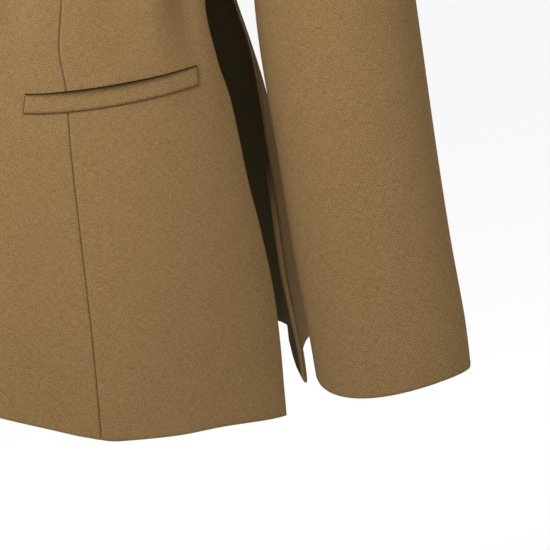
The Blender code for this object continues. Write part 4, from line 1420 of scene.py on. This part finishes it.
@dataclass
class Sleeves:
    """Two-piece sleeves: an oval section led into the armhole and pressed by soft folds."""

    finishes: Finishes
    rows: int = 196
    row_spacing: float = 1.12
    column_tightness: float = 1.5
    angle_step: float = 0.8
    run_step: float = 0.004
    hem_turn: float = 0.035
    top_columns: int = 110
    under_columns: int = 56
    top_sheet: Sheet = Sheet("top_sleeve", (0.285, 0.690), ("side_front", "back"), 0.136)
    under_sheet: Sheet = Sheet("under_sleeve", (0.125, 0.600), ("side_front", "back"), 0.062)

    @staticmethod
    def point(run: Values, angle: Values) -> Grid:
        """Outer points of the sleeve at shares of its run and angles."""
        run, angle = np.broadcast_arrays(run, angle)
        plain = sleeve_section(run, angle)
        lead = (1.0 - ease(run / CAP_BLEND_RUN))[..., None]
        plain = plain + (armhole_ring(angle) - sleeve_section(0.0 * run, angle)) * lead
        flat_angle = np.zeros_like(angle)
        centre = 0.5 * (sleeve_section(run, flat_angle) + sleeve_section(run, flat_angle + 180.0))
        press = np.zeros(run.shape)
        for share, middle, half_length, half_angle, amount, lean in SLEEVE_FOLDS:
            along = (run - share) / half_length
            around = ((angle % 360.0) - middle - lean * (run - share)) / half_angle
            press = press + amount * np.exp(-along * along - around * around)
        press = press * ease(run / SLEEVE_FOLD_START)
        return plain + unit(centre - plain) * press[..., None]

    def normal(self, run: Values, angle: Values) -> Grid:
        """Outward normals of the sleeve, from steps round and along it."""
        turn, step = self.angle_step, self.run_step
        around = self.point(run, angle + turn) - self.point(run, angle - turn)
        low, high = np.maximum(run - step, 0.0), np.minimum(run + step, 1.0)
        return unit(np.cross(around, self.point(high, angle) - self.point(low, angle)))

    def walls(self, start: float, end: float, columns: int) -> tuple[Grid, Grid, Values]:
        """Outer and inner points of a piece between two seams, cuff row first.

        Args:
            start: Angle of the first column.
            end: Angle of the last column.
            columns: Number of columns.

        Returns:
            The two grids, and the distance of each row from the cuff.
        """
        angle = (start + (end - start) * clustered(columns, self.column_tightness))[None, :]
        run = (np.linspace(1.0, 0.0, self.rows) ** self.row_spacing)[:, None]
        run = 1.0 - (1.0 - run) ** self.row_spacing
        run, angle = np.broadcast_arrays(run, angle)
        points = self.point(run, angle)
        away = self.normal(run, angle)
        across = run_lengths(points, 1)
        from_cuff = run_lengths(points, 0)
        points = points + unit(np.gradient(points, axis=1)) * self._inset(columns)
        seam = EDGES.seam(across) + EDGES.seam(across[:, -1:] - across)
        press = EDGES.press(from_cuff)
        outer = points + away * (seam - press)[..., None]
        inner = points + away * (seam + press - SLEEVE_CLOTH)[..., None]
        for grid in (outer, inner):
            grid[-1] += np.array([ARMHOLE_GAP, 0.0, 0.0])
        return outer, inner, from_cuff

    @staticmethod
    def _inset(columns: int) -> Values:
        """Half a seam's gap at both end columns, nothing between."""
        inset = np.zeros((1, columns, 1))
        inset[0, 0, 0], inset[0, -1, 0] = 0.5 * SEAM_GAP, -0.5 * SEAM_GAP
        return inset

    def build(self) -> None:
        """Make top and under sleeves of both sides."""
        back, front = BACK_SLEEVE_SEAM, FRONT_SLEEVE_SEAM
        kinds = (
            (self.top_sheet, self.walls(front, back, self.top_columns)),
            (self.under_sheet, self.walls(back + 360.0, front, self.under_columns)),
        )
        for sheet, (outer, inner, from_cuff) in kinds:
            shell = Shell(outer, inner, None, from_cuff >= self.hem_turn)
            for side in Side:
                sew(shell, sheet, self.finishes.lined, side)


@dataclass(frozen=True)
class TurnedProfile:
    """How finely the turn and the width of collar and lapels are gridded."""

    stand: int = 6
    turn: int = 10
    width: int = 34
    first_turn: float = -80.0
    last_turn: float = 85.0
    crest_start: float = 178.0
    crest_end: float = 45.0
    crowding: float = 1.5

    def widths(self) -> Values:
        """Shares across the turned part, closer together at its edge."""
        return 1.0 - (1.0 - np.linspace(0.0, 1.0, self.width + 1)[1:]) ** self.crowding


PROFILE = TurnedProfile()


def lapel_rows(share: Values, tucked: bool = False) -> Grid:
    """Points across a lapel at shares of the roll line: the turn, then its width.

    The turn is an arc from the front's wall out and over; the width runs straight, in the
    front view, from the roll line to the outer edge, lifted off the front. A tucked lapel
    stays clear of the roll of the other front, which covers its foot.
    """
    share = np.asarray(share, float)
    level = BREAK_LEVEL + share * (ROLL_TOP_LEVEL - BREAK_LEVEL)
    x = roll_x(level)
    shift = np.maximum(TUCK_CLEARANCE - 2.0 * x, 0.0) if tucked else 0.0 * x
    root = stack(x + shift, level)
    edge = stack(*LAPEL.read(share))
    sideways = unit(edge - root)
    reach = np.linalg.norm(edge - root, axis=-1)
    lift = 0.5 * LAPEL_CLOTH + TUCK_LIFT * ease(2.0 * shift / TUCK_CLEARANCE + TUCK_START) * tucked
    ground = front_y(root[..., 0], root[..., 1]) - lift
    count = PROFILE.stand + PROFILE.turn
    angle = np.radians(np.linspace(PROFILE.first_turn, PROFILE.last_turn, count))[None, :]
    away = (2.0 * SEAM_GAP + LAPEL_ROLL * np.cos(angle))[..., None]
    place = root[:, None] - sideways[:, None] * away
    depth = ground[:, None] - LAPEL_ROLL * (1.0 + np.sin(angle))
    turn = stack(place[..., 0], depth, place[..., 1])
    place = root[:, None] + (sideways * reach[:, None])[:, None] * PROFILE.widths()[None, :, None]
    depth = front_y(place[..., 0], place[..., 1]) - LAPEL_LIFT
    return np.concatenate([turn, stack(place[..., 0], depth, place[..., 1])], axis=1)


@dataclass
class Lapels:
    """Both lapels, turned back over the fronts."""

    finishes: Finishes
    rows: int = 120
    tip_rows: int = 16
    press_share: float = 0.8
    sheet: Sheet = Sheet("lapel", (0.115, 0.330), ("front",), 0.0215, "folded")

    def build(self) -> None:
        """Make both lapels; the right front covers the foot of the left one."""
        for side, start, tucked in ((Side.RIGHT, 0.0, False), (Side.LEFT, LEFT_LAPEL_START, True)):
            lower = np.linspace(start, LAPEL_TIP_SHARE, self.rows)
            upper = np.linspace(LAPEL_TIP_SHARE, 1.0, self.tip_rows)[1:]
            grid = lapel_rows(np.concatenate([lower, upper]), tucked)[:, ::-1]
            if tucked:
                grid = underlap(grid)
            across, along = run_lengths(grid, 1), run_lengths(grid, 0)
            edge = np.minimum(across, along[-1:] - along)
            press = self.press_share * EDGES.press(edge)[..., None]
            away = grid_normals(grid)
            shell = Shell(grid - away * press, grid - away * (LAPEL_CLOTH - press))
            sew(shell, self.sheet, (self.finishes.cloth,), side)


@dataclass
class Collar:
    """One collar: a stand from the neck seam and a fall turned down over it."""

    finishes: Finishes
    columns: int = 110
    press_share: float = 0.8
    sheet: Sheet = Sheet(
        "collar",
        (0.440, 0.130),
        ("left_back", "right_back", "left_lapel", "right_lapel"),
        0.0420,
        "folded",
    )

    def neck_edge(self, share: Values) -> Grid:
        """Points on the neck's edge: the back neck, then down the front's roll line."""
        x = NECK_HALF_WIDTH * np.minimum(share / NECK_SHARE, 1.0)
        level = CHEST_LEVEL * (1.0 - neck_share(x))
        back = body_point(Face.BACK, back_distance(np.full_like(x, CHEST_LEVEL), x), level)
        down = ROLL_TOP_LEVEL * np.maximum(share - NECK_SHARE, 0.0) / (1.0 - NECK_SHARE)
        front = body_point(Face.FRONT, front_edge_distance(down), down)
        return np.where((share <= NECK_SHARE)[:, None], back, front)

    def lift_off(self, points: Grid) -> Grid:
        """Move points of the fall out to lie clear of the body below it."""
        x, y, z = np.moveaxis(points, -1, 0)
        top = shoulder_height(x)
        rise = np.clip((z - CHEST_LEVEL) / (top - CHEST_LEVEL), 0.0, 1.0)
        level, chest = CHEST_LEVEL * (1.0 - rise), np.full_like(x, CHEST_LEVEL)
        front = body_point(Face.FRONT, front_distance(chest, x), level)[..., 1] - LAPEL_LIFT
        back = body_point(Face.BACK, back_distance(chest, x), level)[..., 1] + LAPEL_LIFT
        moved = np.where(y < SHOULDER_SEAM_Y, np.minimum(y, front), np.maximum(y, back))
        return stack(x, np.where(z >= top + LAPEL_LIFT, y, moved), z)

    def rows(self, share: Values) -> Grid:
        """Points across the collar: up the stand, round the crest and down the fall."""
        values = np.stack(COLLAR.read(share), axis=-1)
        crest, edge = values[:, :3], values[:, 3:]
        base = self.neck_edge(share) + np.array([0.0, 0.0, 2.0 * SEAM_GAP])
        stand, fall = unit(crest - base), unit(edge - crest)
        outward = unit(fall - stand * np.sum(fall * stand, axis=1, keepdims=True))
        middle = (crest + outward * COLLAR_ROLL)[:, None]
        angle = np.radians(np.linspace(PROFILE.crest_start, PROFILE.crest_end, PROFILE.turn))
        cosine, sine = np.cos(angle)[None, :, None], np.sin(angle)[None, :, None]
        turn = middle + COLLAR_ROLL * (cosine * outward[:, None] + sine * stand[:, None])
        climb = np.linspace(0.0, 1.0, PROFILE.stand + 1)[None, :-1, None]
        lower = base[:, None] + (turn[:, :1] - base[:, None]) * climb
        start = turn[:, -1:]
        width = PROFILE.widths()[None, :, None]
        upper = self.lift_off(start + (edge[:, None] - start) * width)
        points = np.concatenate([lower, turn, upper], axis=1)
        gorge = lapel_rows(np.ones(1)) + np.array([0.0, 0.0, GORGE_GAP])
        blend = ease((share - GORGE_SHARE) / (1.0 - GORGE_SHARE))[:, None, None]
        return points + (gorge - points) * blend

    def build(self) -> None:
        """Make the collar, its left half mirrored onto the right."""
        half = self.rows(np.linspace(0.0, 1.0, self.columns))
        other = half[:0:-1] * np.array([-1.0, 1.0, 1.0])
        grid = np.concatenate([other, half])
        across, along = run_lengths(grid, 1), run_lengths(grid, 0)
        ends = np.minimum(along, along[-1:] - along)
        edge = np.minimum(across[:, -1:] - across, ends)
        press = self.press_share * EDGES.press(edge)[..., None]
        away = grid_normals(grid)
        shell = Shell(grid - away * press, grid - away * (LAPEL_CLOTH - press))
        sew(shell, self.sheet, (self.finishes.cloth,))


@dataclass
class Welts:
    """Welt pockets: a folded strip over each front seam, its opening along the top."""

    finishes: Finishes
    lift: float = 0.0005
    upper: tuple[tuple[float, float], ...] = ((0.0662, -0.4578), (0.1898, -0.4460))
    lower: tuple[tuple[float, float], ...] = ((0.0643, -0.4713), (0.1906, -0.4602))
    upper_sag: float = 0.0025
    lower_sag: float = 0.0036
    sag_power: float = 0.8
    columns: int = 120
    rows: int = 30
    sheet: Sheet = Sheet("pocket_welt", (0.136, 0.0140), ("front",), held="laid")
    # Painted shade in the pocket's opening along the welt's top
    mouth_shadow_width: float = 0.0034
    mouth_shadow_dark: float = 0.95
    end_fullness: float = 0.45
    # Painted shade along the welt's bottom and ends, where it casts its shadow
    line_width: float = 0.0004
    line_shadow_dark: float = 0.85
    edge_thinning: float = 1.5

    def build(self) -> None:
        """Make both welts."""
        share = clustered(self.columns)[None, :, None]
        height = clustered(self.rows)[:, None, None]
        low = np.array(self.lower[0]) + share * (np.array(self.lower[1]) - self.lower[0])
        high = np.array(self.upper[0]) + share * (np.array(self.upper[1]) - self.upper[0])
        bow = 4.0 * share**self.sag_power * (1.0 - share**self.sag_power)
        low = low - bow * np.array([0.0, self.lower_sag])
        high = high - bow * np.array([0.0, self.upper_sag])
        place = low + height * (high - low)
        x, z = place[..., 0], place[..., 1]
        grid = stack(x, front_y(x, z), z)
        away = grid_normals(grid)
        across, along = run_lengths(grid, 1), run_lengths(grid, 0)
        ends = np.minimum(across, across[:, -1:] - across)
        edge = np.minimum(np.minimum(along, along[-1:] - along), ends)
        press = self.edge_thinning * EDGES.press(edge)
        outer = grid + away * (self.lift + WELT_CLOTH - press)[..., None]
        inner = grid + away * self.lift
        # Painted shade: the opening's shadow along the top, widest in the middle, and a fine shadow
        # line along the bottom and ends
        bulge = np.sin(math.pi * clustered(self.columns))
        fullness = self.end_fullness + (1.0 - self.end_fullness) * bulge
        mouth = bump(along[-1:] - along, self.mouth_shadow_width * fullness)
        line = bump(np.minimum(along, ends), self.line_width)
        shade = np.maximum(self.mouth_shadow_dark * mouth, self.line_shadow_dark * line)
        shell = Shell(outer, inner, None, None, shade)
        for side in Side:
            sew(shell, self.sheet, (self.finishes.cloth,), side)


@dataclass
class Button:
    """One dished four-hole button, turned about the local normal of the right front."""

    finishes: Finishes
    radius: float = 0.0105
    thickness: float = 0.0036
    drop: float = 0.010
    sides: int = 72
    hole_place: float = 0.19
    dish: float = 0.60
    stitch_points: int = 9
    stitch_arch: float = 0.0005
    thread_radius: float = 0.00042
    profile: tuple[tuple[float, float], ...] = (
        # share of the radius, share of the thickness
        (0.00, 0.00),
        (0.74, 0.00),
        (0.90, 0.10),
        (0.98, 0.30),
        (1.00, 0.52),
        (0.98, 0.78),
        (0.92, 0.96),
        (0.84, 0.99),
        (0.76, 0.90),
        (0.68, 0.72),
        (0.58, 0.60),
        (0.30, 0.57),
        (0.00, 0.58),
    )

    def seat(self) -> tuple[Values, Values, Values, Values]:
        """Middle of the button's back, and its sideways, upward and outward directions."""
        level = BREAK_LEVEL - self.drop
        heights = level + 0.5 * self.radius * np.array([1.0, -1.0])
        above, below = stack(np.zeros(2), front_y(np.zeros(2), heights), heights)
        upward = unit(above - below)
        sideways = np.array([1.0, 0.0, 0.0])
        outward = np.cross(sideways, upward)
        return 0.5 * (above + below) + outward * SEAM_GAP * 3.0, sideways, upward, outward

    def build(self) -> None:
        """Make the button as a profile turned about its middle, and its crossed stitches."""
        seat, sideways, upward, outward = self.seat()
        radius, height = np.array(self.profile).T[:, :, None]
        angle = np.linspace(0.0, 2.0 * math.pi, self.sides, endpoint=False)[None, :, None]
        spoke = np.cos(angle) * sideways + np.sin(angle) * upward
        rings = seat + spoke * (radius * self.radius)[..., None]
        rings = rings + outward * (height * self.thickness)[..., None]
        item = skin("front_button_horn", rings, self.finishes.horn)
        tie(item, BUTTON_SLOT, "front_button")
        self._stitches(seat, sideways, upward, outward)

    def _stitches(self, seat: Values, sideways: Values, upward: Values, outward: Values) -> None:
        """Lay two parallel pairs of stitches over the button's dish."""
        hole = self.hole_place * self.radius
        top = seat + outward * self.thickness * self.dish
        share = np.linspace(0.0, 1.0, self.stitch_points)[:, None]
        arch = outward * np.sin(math.pi * share) * self.stitch_arch
        for i, row in enumerate((-1.0, 1.0)):
            middle = top + upward * hole * row
            path = middle + sideways * hole * (2.0 * share - 1.0) + arch
            name = f"button_stitch_{i + 1}"
            item = tube(name, path, self.thread_radius, outward, self.finishes.thread)
            tie(item, BUTTON_SLOT)


def skin(name: str, rings: Grid, material: bpy.types.Material) -> bpy.types.Object:
    """Make a smooth skin over rings of points, closed where a ring has no size.

    Args:
        name: The piece's name.
        rings: Points, a row for each ring.
        material: Its finish.

    Returns:
        The object.
    """
    count, sides = rings.shape[:2]
    index = np.arange(count * sides).reshape(count, sides)
    after = np.roll(index, -1, axis=1)
    faces = np.stack([index[:-1], after[:-1], after[1:], index[1:]], axis=-1).reshape(-1, 4)
    mesh = bpy.data.meshes.new(name)
    mesh.from_pydata(rings.reshape(-1, 3), [], faces.tolist())
    form = bmesh.new()
    form.from_mesh(mesh)
    bmesh.ops.remove_doubles(form, verts=form.verts, dist=SAME_PLACE)
    bmesh.ops.recalc_face_normals(form, faces=form.faces)
    form.to_mesh(mesh)
    form.free()
    mesh.materials.append(material)
    mesh.shade_smooth()
    return add_object(name, mesh)


def tube(
    name: str, path: Grid, radius: float, up: Values, material: bpy.types.Material
) -> bpy.types.Object:
    """Make a closed round tube along a path, its ends drawn to a point.

    Args:
        name: The piece's name.
        path: Points along it.
        radius: Its radius.
        up: A direction that the path doesn't follow.
        material: Its finish.

    Returns:
        The object.
    """
    along = unit(np.gradient(path, axis=0))
    side = unit(np.cross(along, np.broadcast_to(up, along.shape)))
    over = np.cross(side, along)
    angle = np.linspace(0.0, 2.0 * math.pi, TUBE_SIDES, endpoint=False)[None, :, None]
    size = np.full((len(path), 1, 1), radius)
    size[0], size[-1] = 0.0, 0.0
    rings = path[:, None] + size * (np.cos(angle) * side[:, None] + np.sin(angle) * over[:, None])
    return skin(name, rings, material)


@dataclass
class Studio:
    """Camera at the photograph's angle, a plain pale floor and soft light."""

    camera_place: Triple = (0.0, -2.18785, -0.155805)
    camera_target: Triple = (0.24591434, -0.0893, -0.59985818)
    lens: float = 195.099
    sensor: float = 36.0
    floor_level: float = -1.42
    floor_size: float = 30.0
    floor_white: float = 0.93
    lamp_target: Triple = (0.0, -0.10, -0.30)
    lamps: tuple[tuple[str, Triple, float, float, float], ...] = (
        # name, place, side of its square, watts, angle in degrees over which it shines
        ("key", (-0.75, -1.15, 0.60), 0.5, 5.6, 50.0),
        ("fill", (2.2, -2.0, 0.2), 1.6, 30.0, 180.0),
    )

    def build(self) -> None:
        """Make camera, floor, lights and surroundings."""
        self._camera()
        self._floor()
        self._lights()
        self._surroundings()

    @staticmethod
    def aim(item: bpy.types.Object, place: Triple, target: Triple) -> None:
        """Put a camera or lamp in its place and turn it to a target."""
        item.location = place
        item.rotation_mode = "QUATERNION"
        look = Vector(target) - Vector(place)
        item.rotation_quaternion = look.to_track_quat("-Z", "Y")

    def _camera(self) -> None:
        """Point a long lens at the target."""
        data = bpy.data.cameras.new("camera")
        data.lens = self.lens
        data.sensor_width = self.sensor
        item = add_object("camera", data)
        self.aim(item, self.camera_place, self.camera_target)
        bpy.context.scene.camera = item

    def _floor(self) -> None:
        """Lay a wide pale floor well below the jacket, as under a standing wearer."""
        half, z, white = 0.5 * self.floor_size, self.floor_level, self.floor_white
        corners = [(-half, -half, z), (half, -half, z), (half, half, z), (-half, half, z)]
        mesh = bpy.data.meshes.new("floor")
        mesh.from_pydata(corners, [], [(0, 1, 2, 3)])
        material = bpy.data.materials.new("floor_white")
        material.use_nodes = True
        shader = material.node_tree.nodes["Principled BSDF"]
        shader.inputs["Base Color"].default_value = (white, white, white, 1.0)
        shader.inputs["Roughness"].default_value = 0.9
        mesh.materials.append(material)
        add_object("floor", mesh)

    def _lights(self) -> None:
        """Hang square soft lamps that face the jacket."""
        for name, place, size, power, spread in self.lamps:
            data = bpy.data.lights.new(name, "AREA")
            data.size = size
            data.energy = power
            data.spread = math.radians(spread)
            self.aim(add_object(name, data), place, self.lamp_target)

    def _surroundings(self) -> None:
        """White surroundings that light the jacket softly from all sides."""
        world = bpy.data.worlds.new("surroundings")
        bpy.context.scene.world = world
        world.use_nodes = True
        shade = world.node_tree.nodes["Background"]
        shade.inputs["Color"].default_value = (1.0, 1.0, 1.0, 1.0)
        shade.inputs["Strength"].default_value = 1.0
        bpy.context.scene.view_settings.view_transform = "Standard"


def main() -> None:
    """Build the jacket's pieces in order, then the studio."""
    logging.basicConfig(level=logging.INFO, format="%(message)s")
    finishes = Finishes()
    sub_assemblies = (
        Fronts(finishes),
        Backs(finishes),
        VentLayers(finishes),
        Sleeves(finishes),
        Lapels(finishes),
        Collar(finishes),
        Welts(finishes),
        Button(finishes),
    )
    for assembly in sub_assemblies:
        assembly.build()
        LOG.info("%s built", type(assembly).__name__)
    Studio().build()


if __name__ == "__main__":
    main()
